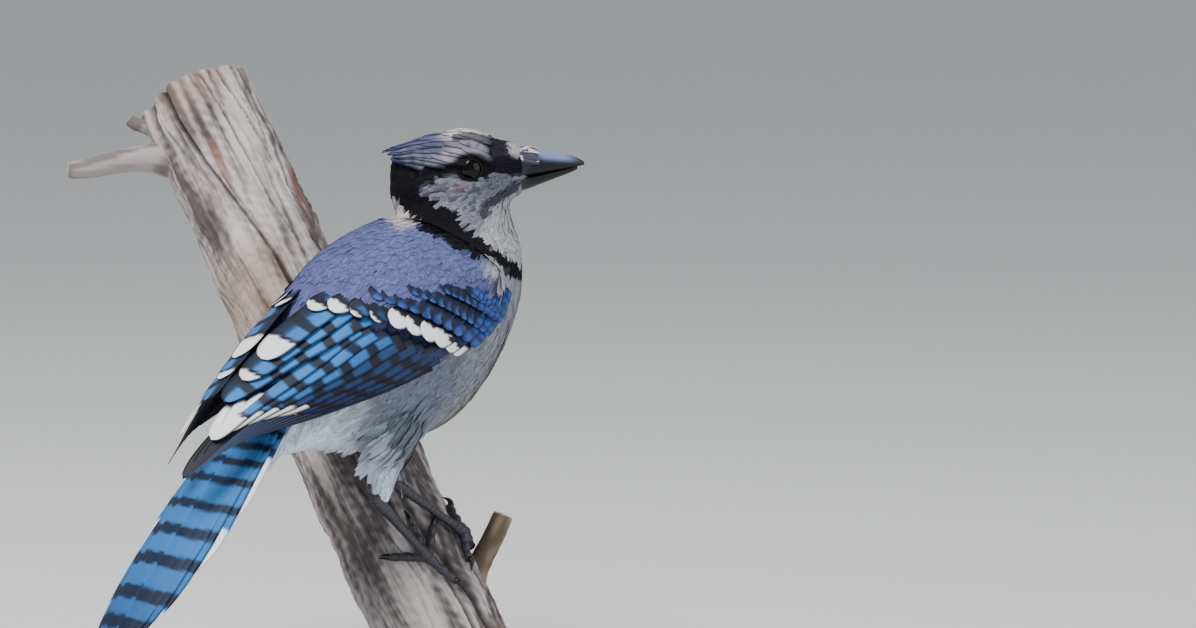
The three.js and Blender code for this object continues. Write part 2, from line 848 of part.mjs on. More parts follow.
const belowHead = bodyMass.trimByPlane([0, 0, -1], -(headCut - GAP / 2));
const neckSlab = belowHead.trimByPlane([0, 0, 1], neckCut + GAP / 2);
add("neck", largest(neckSlab.subtract(coreRight).subtract(coreLeft)), "neck");

const torsoWhole = bodyMass.trimByPlane([0, 0, -1], -(neckCut - GAP / 2));
const torsoSolid = torsoWhole.subtract(coreRight).subtract(coreLeft).subtract(tail(GAP));
add("torso", largest(torsoSolid), "mantle");

add("wing_right", largest(wing(-1)), "wing");
add("wing_left", largest(wing(1)), "wing");
add("tail", largest(tail()), "tail");

const torsoGrown = join([torsoBody(GAP), ventLobe(GAP)]);
add("thigh_right", largest(legLobes[0].subtract(torsoGrown)), "thigh");
add("thigh_left", largest(legLobes[1].subtract(torsoGrown)), "thigh");
for (const side of ["right", "left"]) {
  const around = join([thigh(LEGS[side], GAP), foot("right", GAP), foot("left", GAP)]);
  add("tarsus_" + side, largest(tarsus(LEGS[side]).subtract(around)), "leg");
}
add("foot_right", foot("right"), "leg");
add("foot_left", foot("left"), "leg");

add("perch_branch", perch(), "branch");
add("stand_base", standBase(), "base");
const rodMiddle = along(BRANCH_0, BRANCH_T, (CUT_LEVEL - BRANCH_0.z) / BRANCH_T.z);
for (const [i, side] of [-1, 1].entries()) {
  const rod = add("stand_rod_" + (i + 1), standRod(), "rod");
  rod.position.set(rodMiddle.x + (side * ROD_SPACING) / 2, rodMiddle.y, BASE_HEIGHT + GAP);
}

export default jay;
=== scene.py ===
import math

import bpy
import numpy as np
from mathutils import Matrix


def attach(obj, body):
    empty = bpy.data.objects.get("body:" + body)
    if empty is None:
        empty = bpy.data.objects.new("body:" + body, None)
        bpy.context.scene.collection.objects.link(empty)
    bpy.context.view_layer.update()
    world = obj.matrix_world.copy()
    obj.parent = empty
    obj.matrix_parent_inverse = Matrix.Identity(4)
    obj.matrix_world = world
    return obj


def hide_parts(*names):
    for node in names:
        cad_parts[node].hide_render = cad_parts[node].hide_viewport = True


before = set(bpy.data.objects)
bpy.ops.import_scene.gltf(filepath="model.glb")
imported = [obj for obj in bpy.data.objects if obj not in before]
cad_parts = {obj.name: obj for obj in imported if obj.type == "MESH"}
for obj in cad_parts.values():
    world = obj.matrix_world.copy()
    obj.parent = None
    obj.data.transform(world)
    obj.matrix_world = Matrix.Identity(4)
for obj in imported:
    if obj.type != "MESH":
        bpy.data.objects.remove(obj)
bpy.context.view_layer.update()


# Camera: behind the bird's right shoulder, a little above it, with a long lens.
# All places below are worked out in millimetres and written in metres.
MM = 0.001
TORSO = np.array([-8.0, -34.0, 140.0])
AZIMUTH, ELEVATION = math.radians(-42), math.radians(5)
CAM_RIGHT = np.array([math.cos(AZIMUTH), math.sin(AZIMUTH), 0.0])
CAM_BACK = np.array(
    [math.sin(AZIMUTH) * math.cos(ELEVATION), -math.cos(AZIMUTH) * math.cos(ELEVATION), math.sin(ELEVATION)]
)
CAM_UP = np.cross(CAM_BACK, CAM_RIGHT)
PIXEL_MM = 0.35
CAM_DISTANCE = 1800.0


def unit(v):
    """Vectors over the last axis divided by their lengths."""
    return v / np.maximum(np.linalg.norm(v, axis=-1, keepdims=True), 1e-9)


aim = TORSO + CAM_RIGHT * 198 * PIXEL_MM + CAM_UP * 17 * PIXEL_MM
eye_point = aim + CAM_BACK * CAM_DISTANCE
camera_data = bpy.data.cameras.new("camera")
camera_data.lens = 36.0 * CAM_DISTANCE / (1196 * PIXEL_MM)
camera_data.sensor_width = 36.0
camera_data.clip_end = 50.0
camera = bpy.data.objects.new("camera", camera_data)
columns = np.stack([CAM_RIGHT, CAM_UP, CAM_BACK, eye_point * MM], axis=1)
camera.matrix_world = Matrix([*columns.tolist(), (0, 0, 0, 1)])
bpy.context.scene.collection.objects.link(camera)
bpy.context.scene.camera = camera


# Floor and light: a plain pale studio floor, one large soft light high on the left behind the camera,
# a weaker one from the right, and an even pale sky.
def lin(code):
    """sRGB hex colour as linear red, green and blue."""
    c = np.array([int(code[i : i + 2], 16) for i in (0, 2, 4)]) / 255.0
    return np.where(c > 0.04045, ((c + 0.055) / 1.055) ** 2.4, c / 12.92)


def node(tree, kind, links=None, **values):
    """Adds one shader node, sets its named inputs and properties and links the inputs given."""
    n = tree.nodes.new(kind)
    for key, value in values.items():
        if key in n.inputs:
            n.inputs[key].default_value = value
        else:
            setattr(n, key, value)
    for key, source in (links or {}).items():
        tree.links.new(source, n.inputs[key])
    return n


def material(name, colour, roughness, **extra):
    """A principled material of one colour."""
    m = bpy.data.materials.new(name)
    m.use_nodes = True
    shader = m.node_tree.nodes["Principled BSDF"]
    shader.inputs["Base Color"].default_value = (*lin(colour), 1)
    shader.inputs["Roughness"].default_value = roughness
    for key, value in extra.items():
        shader.inputs[key.replace("_", " ")].default_value = value
    return m


def paint(mesh, colours):
    """Writes linear colours to the mesh's points, in the layer that the materials read."""
    layer = mesh.color_attributes.new("Plumage", "FLOAT_COLOR", "POINT")
    rgba = np.concatenate([np.clip(colours, 0, 1), np.ones((len(colours), 1))], axis=1)
    layer.data.foreach_set("color", rgba.ravel())


def link_mesh(name, mat, verts, faces, colours=None, uv=None):
    """A mesh object from points in millimetres, with point colours and a bake map if given."""
    mesh = bpy.data.meshes.new(name)
    mesh.from_pydata((verts * MM).tolist(), [], faces.tolist() if hasattr(faces, "tolist") else faces)
    if colours is not None:
        paint(mesh, colours)
    if uv is not None:
        index = np.zeros(len(mesh.loops), dtype=np.int32)
        mesh.loops.foreach_get("vertex_index", index)
        mesh.uv_layers.new(name="OFBake").data.foreach_set("uv", uv[index].ravel())
    mesh.polygons.foreach_set("use_smooth", np.full(len(mesh.polygons), True))
    mesh.materials.append(mat)
    mesh.update()
    piece = bpy.data.objects.new(name, mesh)
    bpy.context.scene.collection.objects.link(piece)
    return piece


FLOOR_HALF = 9000.0
corners = np.array([[-1, -1, 0], [1, -1, 0], [1, 1, 0], [-1, 1, 0]]) * FLOOR_HALF
floor = link_mesh("floor", material("pale_floor", "e3e4e2", 0.9), corners, [[0, 1, 2, 3]])


def area_light(name, place, size, power, colour):
    """A square area light at a place in millimetres from the bird, turned towards it."""
    data = bpy.data.lights.new(name, "AREA")
    data.shape = "SQUARE"
    data.size = size
    data.energy = power
    data.color = colour
    light = bpy.data.objects.new(name, data)
    away = unit(place)
    side = unit(np.cross([0, 0, 1.0], away))
    columns = np.stack([side, np.cross(away, side), away, (TORSO + place) * MM], axis=1)
    light.matrix_world = Matrix([*columns.tolist(), (0, 0, 0, 1)])
    bpy.context.scene.collection.objects.link(light)


area_light("key", CAM_BACK * 700 - CAM_RIGHT * 600 + CAM_UP * 1300, 0.8, 34, (1, 0.98, 0.95))
area_light("fill", CAM_BACK * 900 + CAM_RIGHT * 1300 + CAM_UP * 500, 1.4, 12, (0.95, 0.98, 1))
world = bpy.data.worlds.new("pale_sky")
world.use_nodes = True
world.node_tree.nodes["Background"].inputs["Color"].default_value = (0.9, 0.95, 1.0, 1)
world.node_tree.nodes["Background"].inputs["Strength"].default_value = 0.5
bpy.context.scene.world = world


# Branch: a length of dead, barkless wood about 43 mm thick, grey and split along the grain.
# Its lower end is sawn level for the stand. A side twig, two stubs and a knot stay on it.
BRANCH_RADIUS = 21.5
BRANCH_FOOT = TORSO + np.array([9.3, 7.7, -82.0])
BRANCH_T = unit(np.array([0.045, 0.644, 0.7637]))
BRANCH_A = unit(np.array([1.0, 0, 0]) - BRANCH_T * BRANCH_T[0])
BRANCH_B = np.cross(BRANCH_T, BRANCH_A)
BRANCH_ENDS = (-58.0, 205.0)
CUT_LEVEL = 28.0


def ripple(p, scale, seed, terms=9):
    """Smooth noise near -1 to 1: a mean of sines along seeded directions of about one wave per scale."""
    rng = np.random.default_rng(seed)
    k = rng.normal(size=(terms, p.shape[-1])) * 2.2 / scale
    phase = rng.uniform(0, 2 * math.pi, terms)
    return np.sin(p @ k.T + phase).sum(axis=-1) / math.sqrt(terms) * 0.8


def smooth(a, b, x):
    """0 below a, 1 above b, and a smooth step between."""
    t = np.clip((x - a) / (b - a), 0, 1)
    return t * t * (3 - 2 * t)


def around(n):
    """Evenly spaced angles, once round."""
    return np.linspace(0, 2 * math.pi, n, endpoint=False)


def branch_radius(t, angle):
    """Radius of the branch: a round of 21.5 mm with three and five soft ridges that wind, and a knot."""
    slim = 1 - 0.02 * ((t + 40) / 245)
    twist = angle + t * 0.008
    knot = np.exp(-(((t - 83) / 16) ** 2) - (np.sin((angle - 4.1) / 2) / 0.35) ** 2)
    return (
        BRANCH_RADIUS * slim
        + 0.7 * np.sin(3 * twist + 0.6)
        + 0.45 * np.sin(5 * twist + t * 0.02 + 2)
        + 0.3 * np.sin(2 * twist - t * 0.05)
        + 1.4 * knot
    )


def branch_point(t, angle, h=0.0):
    """Point at t along the branch's axis, an angle round it and a height off its surface."""
    r = branch_radius(t, angle) + h
    t, r, angle = np.broadcast_arrays(t, r, angle)
    return (
        BRANCH_FOOT
        + t[..., None] * BRANCH_T
        + (r * np.cos(angle))[..., None] * BRANCH_A
        + (r * np.sin(angle))[..., None] * BRANCH_B
    )


def grid_faces(rows, cols):
    """Quads of a grid of points, row after row, closed round each row."""
    r = np.arange(rows - 1)[:, None]
    c = np.arange(cols)[None, :]
    n = (c + 1) % cols
    quads = np.stack([r * cols + c, r * cols + n, (r + 1) * cols + n, (r + 1) * cols + c], axis=-1)
    return quads.reshape(-1, 4)


def capped(p, ends=None, turned=False):
    """Points and faces of rings closed by a fan to a point at each end: the ring's mean unless given."""
    rows, cols = p.shape[:2]
    if ends is None:
        ends = p[[0, -1]].mean(axis=1)
    i = np.arange(cols)
    n, tip, last = (i + 1) % cols, i * 0 + rows * cols, (rows - 1) * cols
    fans = np.concatenate([np.stack([tip, n, i], axis=1), np.stack([tip + 1, last + i, last + n], axis=1)])
    faces = grid_faces(rows, cols).tolist() + fans.tolist()
    return np.concatenate([p.reshape(-1, 3), ends]), [q[::-1] for q in faces] if turned else faces


def tinted(over, code, mask):
    """Colours with another one, given as a hex code, laid over them where the mask is 1."""
    return over * (1 - mask[..., None]) + lin(code) * mask[..., None]


def grain_noise(angle, t, across, stretch, seed):
    """Noise round the branch and along it: waves of one size across the grain, stretched along it."""
    q = np.stack([np.cos(angle) * 21 + t * 0, np.sin(angle) * 21 + t * 0, t / stretch + angle * 0], axis=-1)
    return ripple(q, across, seed, 14)


def wood_split(angle, t):
    """Depth of the splits, 0 to 1: thin lines where long-grained noise is near nought, wide and fine."""
    wind = angle + t * 0.006 + 0.05 * np.sin(t * 0.09 + 3 * angle)
    wide = np.clip(1.25 - np.abs(grain_noise(wind, t, 11, 22, 11)) / 0.12, 0, 1)
    wide = wide * smooth(-0.5, 0.1, grain_noise(wind, t, 14, 6, 14))
    fine = np.clip(1.2 - np.abs(grain_noise(wind, t, 5, 20, 12)) / 0.16, 0, 1)
    fine = fine * smooth(-0.2, 0.4, grain_noise(wind, t, 8, 6, 15))
    hair = np.clip(1 - np.abs(grain_noise(wind, t, 2.4, 18, 13)) / 0.35, 0, 1)
    return np.clip(wide + 0.6 * fine + 0.3 * hair, 0, 1.3)


def fibre_rise(angle, t):
    """Relief of the weathered fibres: thin ridges along the grain, about one for each 2 mm across it."""
    return grain_noise(angle, t, 2.0, 14, 28) + 0.5 * grain_noise(angle, t, 5, 8, 29)


def branch_mesh():
    """Grid of rings along the axis, sunk at the splits, closed at both ends, level at the lower cut."""
    rows, cols = 520, 320
    t = np.linspace(*BRANCH_ENDS, rows)[:, None]
    angle = around(cols)[None, :]
    base = branch_point(t, angle)
    split = wood_split(angle, t)
    rough = ripple(base, 3.0, 21) * 0.25 + ripple(base, 14, 22) * 0.5 + 0.18 * fibre_rise(angle, t)
    step = smooth(-0.1, 0.15, grain_noise(angle, t, 7, 3, 24)) * 0.5
    p = branch_point(t, angle, rough + step - 1.9 * split)
    low = p[..., 2] < CUT_LEVEL
    sunk = (CUT_LEVEL - p[..., 2]) / BRANCH_T[2]
    p = np.where(low[..., None], p + BRANCH_T * sunk[..., None], p)
    fibre = 0.45 * grain_noise(angle, t, 3.2, 14, 25) + 0.35 * grain_noise(angle, t, 1.7, 16, 26)
    fibre = fibre + 0.6 * grain_noise(angle, t, 9, 4, 23) + 0.22 * ripple(base, 2.2, 27)
    pale = smooth(-0.8, 0.9, fibre)
    warm = smooth(0.1, 0.9, ripple(base * np.array([1, 0.4, 0.4]), 26, 31))
    colour = tinted(tinted(lin("544b4b"), "c6bcbb", pale), "8f7463", 0.5 * warm)
    red = smooth(0.4, 0.7, grain_noise(angle, t, 4, 12, 41)) * smooth(112, 135, t)
    red = red * smooth(0.3, 0.7, ripple(base, 24, 42))
    colour = tinted(colour, "8d4a3c", 0.6 * red)
    knot = np.exp(-(((t - 83) / 8) ** 2) - (np.sin((angle - 4.1) / 2) / 0.16) ** 2)
    knot = knot + np.exp(-(((t - 62) / 9) ** 2) - (np.sin((angle - 4.5) / 2) / 0.12) ** 2)
    # Painted shade darkens the splits; the wood is also darker at the two knots.
    colour = colour * np.clip(1 - 0.8 * np.clip(split, 0, 1) - 0.62 * knot, 0.05, 1)[..., None]
    inward = np.linspace(0.98, 0.02, 40)[:, None]
    years = smooth(0.1, 0.9, np.sin(inward * 46 + 0.7 * np.sin(3 * angle) + 0.5 * np.sin(angle)))
    sawn = tinted(lin("a8937b"), "7d6853", years) * (0.75 + 0.25 * inward[..., None])
    caps = [p[e].mean(axis=0) + (p[e] - p[e].mean(axis=0)) * inward[..., None] for e in (0, -1)]
    p = np.concatenate([caps[0][::-1], p, caps[1]])
    colour = np.concatenate([sawn[::-1], colour, sawn])
    return *capped(p), np.concatenate([colour.reshape(-1, 3), [lin("a08a72"), lin("b59f86")]])


def tube(path, radii, cols=20):
    """Closed tube along a path: rings square to it, each end drawn to a point."""
    path = np.asarray(path, dtype=float)
    t = unit(np.gradient(path, axis=0))
    ref = np.linalg.eigh(t.T @ t)[1][:, 0]
    side = unit(np.cross(t, ref))
    up = np.cross(side, t)
    w = around(cols)
    ring = side[:, None] * np.cos(w)[None, :, None] + up[:, None] * np.sin(w)[None, :, None]
    return capped(path[:, None] + ring * np.asarray(radii)[:, None, None], path[[0, -1]], True)


def gather(parts):
    """Several (points, faces) or (points, faces, colours) made one of each."""
    faces, start = [], 0
    for part in parts:
        faces += [[i + start for i in face] for face in part[1]]
        start += len(part[0])
    verts, _, *tints = zip(*parts)
    return np.concatenate(verts), faces, *[np.concatenate(tint) for tint in tints]


def twig(at, angle, go, length, root, tip, bend, colour):
    """A round twig from the branch's surface, thicker at its collar, bent a little, pale where it broke."""
    rings, cols, sunk = 40, 28, 6.0
    start = branch_point(at, angle, -sunk)
    u = np.append(np.linspace(0, 1, rings), 1.01)
    path = start + unit(np.array(go)) * ((length + sunk) * u)[:, None] + np.array(bend) * (u * u)[:, None]
    path += 0.5 * np.stack([ripple(u[:, None] * 30, 12, 51 + k) for k in range(3)], axis=1)
    radii = root * (1 - u) + tip * u + 1.6 * np.exp(-((u - 0.1) ** 2) / 0.02)
    radii[-2:] = tip * 0.97, tip * 0.9
    verts, faces = tube(path, radii, cols)
    verts += 0.22 * unit(verts - path.mean(axis=0)) * ripple(verts, 2.6, 61)[:, None]
    axis = unit(path[-1] - path[0])
    lengthwise = verts - 0.8 * (verts @ axis)[:, None] * axis
    tint = lin(colour) * (0.45 + 0.6 * smooth(-0.7, 0.6, ripple(lengthwise, 2.6, 62)))[:, None]
    tint[rings * cols :] = lin("cdbb9d")
    return verts, faces, tint


wood = material("weathered_wood", "a79f9d", 0.88)
tree = wood.node_tree
shader = tree.nodes["Principled BSDF"]
tint_node = node(tree, "ShaderNodeVertexColor", layer_name="Plumage")
place = node(tree, "ShaderNodeTexCoord")
grain = node(tree, "ShaderNodeTexNoise", {"Vector": place.outputs["Object"]}, Scale=900.0, Detail=4.0)
bump = node(tree, "ShaderNodeBump", {"Height": grain.outputs["Fac"]}, Strength=0.35, Distance=0.0006)
tree.links.new(tint_node.outputs["Color"], shader.inputs["Base Color"])
tree.links.new(bump.outputs["Normal"], shader.inputs["Normal"])
# Twigs: place along and round the branch, direction, length, radii at root and tip, bend, colour
branch_parts = [
    branch_mesh(),
    twig(184, 2.7, [-0.74, 0.66, -0.02], 34, 5.6, 3.1, [0, 0, -3], "a39a98"),
    twig(198, 2.5, [-0.7, 0.55, 0.3], 8, 4.2, 2.2, [0, 0, 1], "9a918f"),
    twig(-20, -0.16, [0.36, -0.2, 0.91], 27, 4.4, 3.6, [0, 0, 0], "8f7c66"),
]
branch = link_mesh("branch", wood, *gather(branch_parts))
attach(branch, "root")
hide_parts("perch_branch")


# Stand: a painted round wooden base and two brushed steel rods, glued into it and into the branch.
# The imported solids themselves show, with these materials.
stand_paint = material("satin_paint", "3a3a3c", 0.45)
stand_steel = material("brushed_steel", "a4a6a8", 0.32, Metallic=1.0)
for name, mat in (("stand_base", stand_paint), ("stand_rod_1", stand_steel), ("stand_rod_2", stand_steel)):
    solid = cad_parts[name]
    solid.data.materials.clear()
    solid.data.materials.append(mat)


# Skin: the bird's body, neck, head and thighs as one smooth surface under the coat.
# It is built from ringed lofts like the solids' and remeshed, so that it has no seam.
BODY_PITCH = math.radians(41.5)
BODY_F = np.array([math.cos(BODY_PITCH), 0, math.sin(BODY_PITCH)])
BODY_D = np.array([-math.sin(BODY_PITCH), 0, math.cos(BODY_PITCH)])
BODY_L = np.array([0.0, 1.0, 0.0])
HEAD_YAW = math.radians(-38)
HEAD_F = np.array([math.cos(HEAD_YAW), math.sin(HEAD_YAW), 0])
HEAD_L = np.array([-math.sin(HEAD_YAW), math.cos(HEAD_YAW), 0])
HEAD_U = np.array([0, 0, 1.0])
EYE_LEVEL = TORSO + np.array([26.7, -5.8, 56.4])
# Stations of the torso: place along it, half width, height above and below a middle, the middle
TORSO_ROWS = [
    [-66, 7, 5, 5, 16.5],
    [-57, 15, 9, 17, 15.5],
    [-45, 23.5, 15, 27, 12.5],
    [-30, 30, 21, 35, 9],
    [-12, 34.5, 27, 39.5, 4.5],
    [8, 35.5, 29.5, 36, 1.5],
    [28, 33, 25, 27.5, 0],
    [42, 26.5, 19.5, 20.5, 0.5],
    [52, 18, 13, 14, 2],
    [58, 8, 6, 7, 3],
]
# Place along the torso, middle, half width, half height
VENT_ROWS = [
    [-40, 10, 18, 12],
    [-52, 11.5, 14, 12],
    [-64, 14.5, 11.5, 9.5],
    [-76, 15.6, 8.5, 6],
    [-88, 14.4, 5, 3],
]
# Height from the eyes, middle, half depth, half width
NECK_ROWS = [
    [-1, -6, 17, 12],
    [-11, -5.4, 20, 14.5],
    [-19, -5, 21.6, 16.8],
    [-27, -6, 22.6, 19.8],
    [-35, -8, 24.4, 22.8],
    [-45, -10, 27, 25.5],
    [-52, -11, 24, 23],
]
# Place ahead of the eyes, top, bottom, half width
HEAD_ROWS = [
    [-27, 3, -13, 4],
    [-24, 7.4, -17, 8.5],
    [-18, 10, -20, 12],
    [-10, 12.4, -22, 14],
    [-1, 13.6, -20, 14.2],
    [6, 12.4, -17, 13],
    [11, 10.6, -14.5, 11],
    [15.5, 10.2, -12, 8.4],
    [19, 7.4, -9.6, 5.8],
    [21.5, 4, -7.6, 3.4],
]
# The folded wing's surface: place along the body, half width, height, middle
SHELL_ROWS = [
    [34, 33, 26, 0],
    [5, 37.5, 32, 2],
    [-15, 36.5, 31, 4.5],
    [-35, 32, 28.5, 9],
    [-55, 25, 22.5, 15.5],
    [-75, 17.5, 14, 24],
    [-95, 11, 8, 27.5],
    [-116, 6, 4, 29],
]
LEGS = {
    "right": {"lobe": [-16, -17, -27], "heel": [-25.6, -19.4, -57], "foot": (-14, -2.05), "full": 0.86},
    "left": {"lobe": [-8, 11, -27], "heel": [-4, -4, -54], "foot": (-6, -1.3), "full": 0.78},
}


def station(rows, x):
    """Smooth value of each column of a station table at x: cubic curves through its rows."""
    rows = np.array(rows, dtype=float)
    x = np.asarray(x, dtype=float)
    up = 1 if rows[1, 0] > rows[0, 0] else -1
    i = np.clip(np.searchsorted(rows[:, 0] * up, x * up, side="right") - 1, 0, len(rows) - 2)
    a, b = rows[np.maximum(i - 1, 0)], rows[i]
    c, d = rows[i + 1], rows[np.minimum(i + 2, len(rows) - 1)]
    h = (c[..., 0] - b[..., 0])[..., None]
    t = np.clip((x - b[..., 0])[..., None] / h, 0, 1)
    m0 = (c - a) / (c[..., :1] - a[..., :1]) * h
    m1 = (d - b) / (d[..., :1] - b[..., :1]) * h
    v = (2 * t**3 - 3 * t**2 + 1) * b + (t**3 - 2 * t**2 + t) * m0
    v = v + (3 * t**2 - 2 * t**3) * c + (t**3 - t**2) * m1
    return [v[..., k] for k in range(1, rows.shape[1])]


def body_point(f, l, d):
    """Point at f along the body's axis, l to its left and d towards its back."""
    f, l, d = np.broadcast_arrays(f, l, d)
    return TORSO + f[..., None] * BODY_F + l[..., None] * BODY_L + d[..., None] * BODY_D


def head_point(f, l, u):
    """Point at f ahead of the eyes, l to the head's left and u above them."""
    f, l, u = np.broadcast_arrays(f, l, u)
    return EYE_LEVEL + f[..., None] * HEAD_F + l[..., None] * HEAD_L + u[..., None] * HEAD_U


def oval_loft(place, stops, width, above, below, middle, cols=48):
    """Closed loft of ovals: at each stop a half width, a height above and a depth below a middle."""
    w = around(cols)[None, :]
    rise = np.where(np.cos(w) > 0, above[:, None], below[:, None]) * np.cos(w)
    return capped(place(stops[:, None], width[:, None] * np.sin(w), middle[:, None] + rise))


def torso_loft(grow):
    """The torso: ovals along the body's axis."""
    f = np.linspace(-66, 58, 44)
    a, top, bottom, d = station(TORSO_ROWS, f)
    return oval_loft(body_point, f, a + grow, top + grow, bottom + grow, d)


def vent_loft(grow):
    """The soft cone under the tail's root."""
    f = np.linspace(-40, -86, 20)
    d, a, b = station(VENT_ROWS, f)
    return oval_loft(body_point, f, a + grow, b + grow, b + grow, d)


def neck_loft(grow):
    """The neck: level ovals with their long way along the head's line."""
    u = np.linspace(-1, -52, 30)
    middle, depth, width = station(NECK_ROWS, u)
    w = around(48)[None, :]
    forth = middle[:, None] + (depth + grow)[:, None] * np.cos(w)
    return capped(head_point(forth, (width + grow)[:, None] * np.sin(w), u[:, None]))


def head_loft(grow):
    """The head: ovals from the nape to the root of the bill."""
    f = np.linspace(-27, 21.5, 34)
    top, bottom, width = station(HEAD_ROWS, f)
    mid = (top + bottom) / 2
    half = top - mid
    return oval_loft(head_point, f, width + grow, half + grow, half + grow, mid)


def thigh_loft(leg, grow):
    """A feathered thigh: a cone from the flank to just above the heel."""
    top = TORSO + np.array(leg["lobe"], dtype=float)
    low = TORSO + np.array(leg["heel"], dtype=float)
    u = np.array([-0.3, -0.15, 0.05, 0.28, 0.5, 0.7, 0.86, 0.99])
    r = np.array([6, 10.5, 13, 11.6, 8.2, 5.6, 4.9, 4.6]) * leg["full"] + grow
    fine = np.linspace(u[0], u[-1], 24)
    return tube(top + (low - top) * fine[:, None], np.maximum(np.interp(fine, u, r), 1.3), 28)


# Edge of the shoulder's bed: place along the body, degrees from the back's middle
PAD_ROWS = [[28, 84], [24, 92], [10, 80], [0, 66], [-12, 54], [-20, 36], [-27, 10]]


def wing_point(sign, f, phi, h):
    """Point on the folded wing: f along the body, phi degrees from the back's middle, h off the surface."""
    a, b, d = station(SHELL_ROWS, f)
    s, c = np.sin(np.radians(phi)), np.cos(np.radians(phi))
    return body_point(f, sign * (a + h) * s, d + (b + h) * c)


def pad_loft(sign, grow):
    """The shoulder feathers' bed: a rounded sheet that laps over the root of the folded wing."""
    f = np.linspace(28, -27, 30)[:, None]
    (edge,) = station(PAD_ROWS, f[:, 0])
    k = np.linspace(0, 1, 16)[None, :]
    phi = -3 + (edge[:, None] + 3) * k
    ends = np.sin(np.pi * np.clip((28 - f) / 55, 0.02, 0.98)) ** 0.5
    rim = np.sqrt(np.clip(1 - (np.clip(k - 0.7, 0, 1) / 0.3) ** 2, 0, 1))
    high = wing_point(sign, f, phi, (4.2 + grow) * ends * (0.25 + 0.75 * rim) + 0.2)
    low = wing_point(sign, f, phi[:, ::-1], -4.0)
    p = np.concatenate([high, low], axis=1)
    return capped(p[:, ::-1] if sign > 0 else p)


def along_line(x, y, line):
    """Distance from points in a plane to a bent line."""
    best = np.full(np.shape(x), 1e9)
    for (x0, y0), (x1, y1) in zip(line[:-1], line[1:]):
        dx, dy = x1 - x0, y1 - y0
        t = np.clip(((x - x0) * dx + (y - y0) * dy) / (dx**2 + dy**2), 0, 1)
        best = np.minimum(best, np.hypot(x - x0 - t * dx, y - y0 - t * dy))
    return best


def patch(x, y, cx, cy, rx, ry, soft=0.35):
    """1 inside an ellipse and 0 outside, with a soft rim."""
    return 1 - smooth(1 - soft, 1 + soft, np.hypot((x - cx) / rx, (y - cy) / ry))


def local(p):
    """Body coordinates (forward, left, backward-up) and head coordinates (forward, left, up) of points."""
    q, e = p - TORSO, p - EYE_LEVEL
    return (q @ BODY_F, q @ BODY_L, q @ BODY_D), (e @ HEAD_F, e @ HEAD_L, e @ HEAD_U)


EYE_STRIPE = [(18, 0.4), (12, 1.4), (6, 0.8), (-4, 0.6), (-14.5, -1.6), (-24, -4.4)]
COLLAR = [(-26, -1), (-23, -6), (-18.8, -11.2), (-14.2, -15.9), (-8.1, -18.6), (-0.5, -23.9)]
COLLAR += [(8.4, -29.6), (14, -34), (22, -38)]
MALAR = [(17, -5.5), (12, -8.5), (6, -12.5), (4.5, -16)]


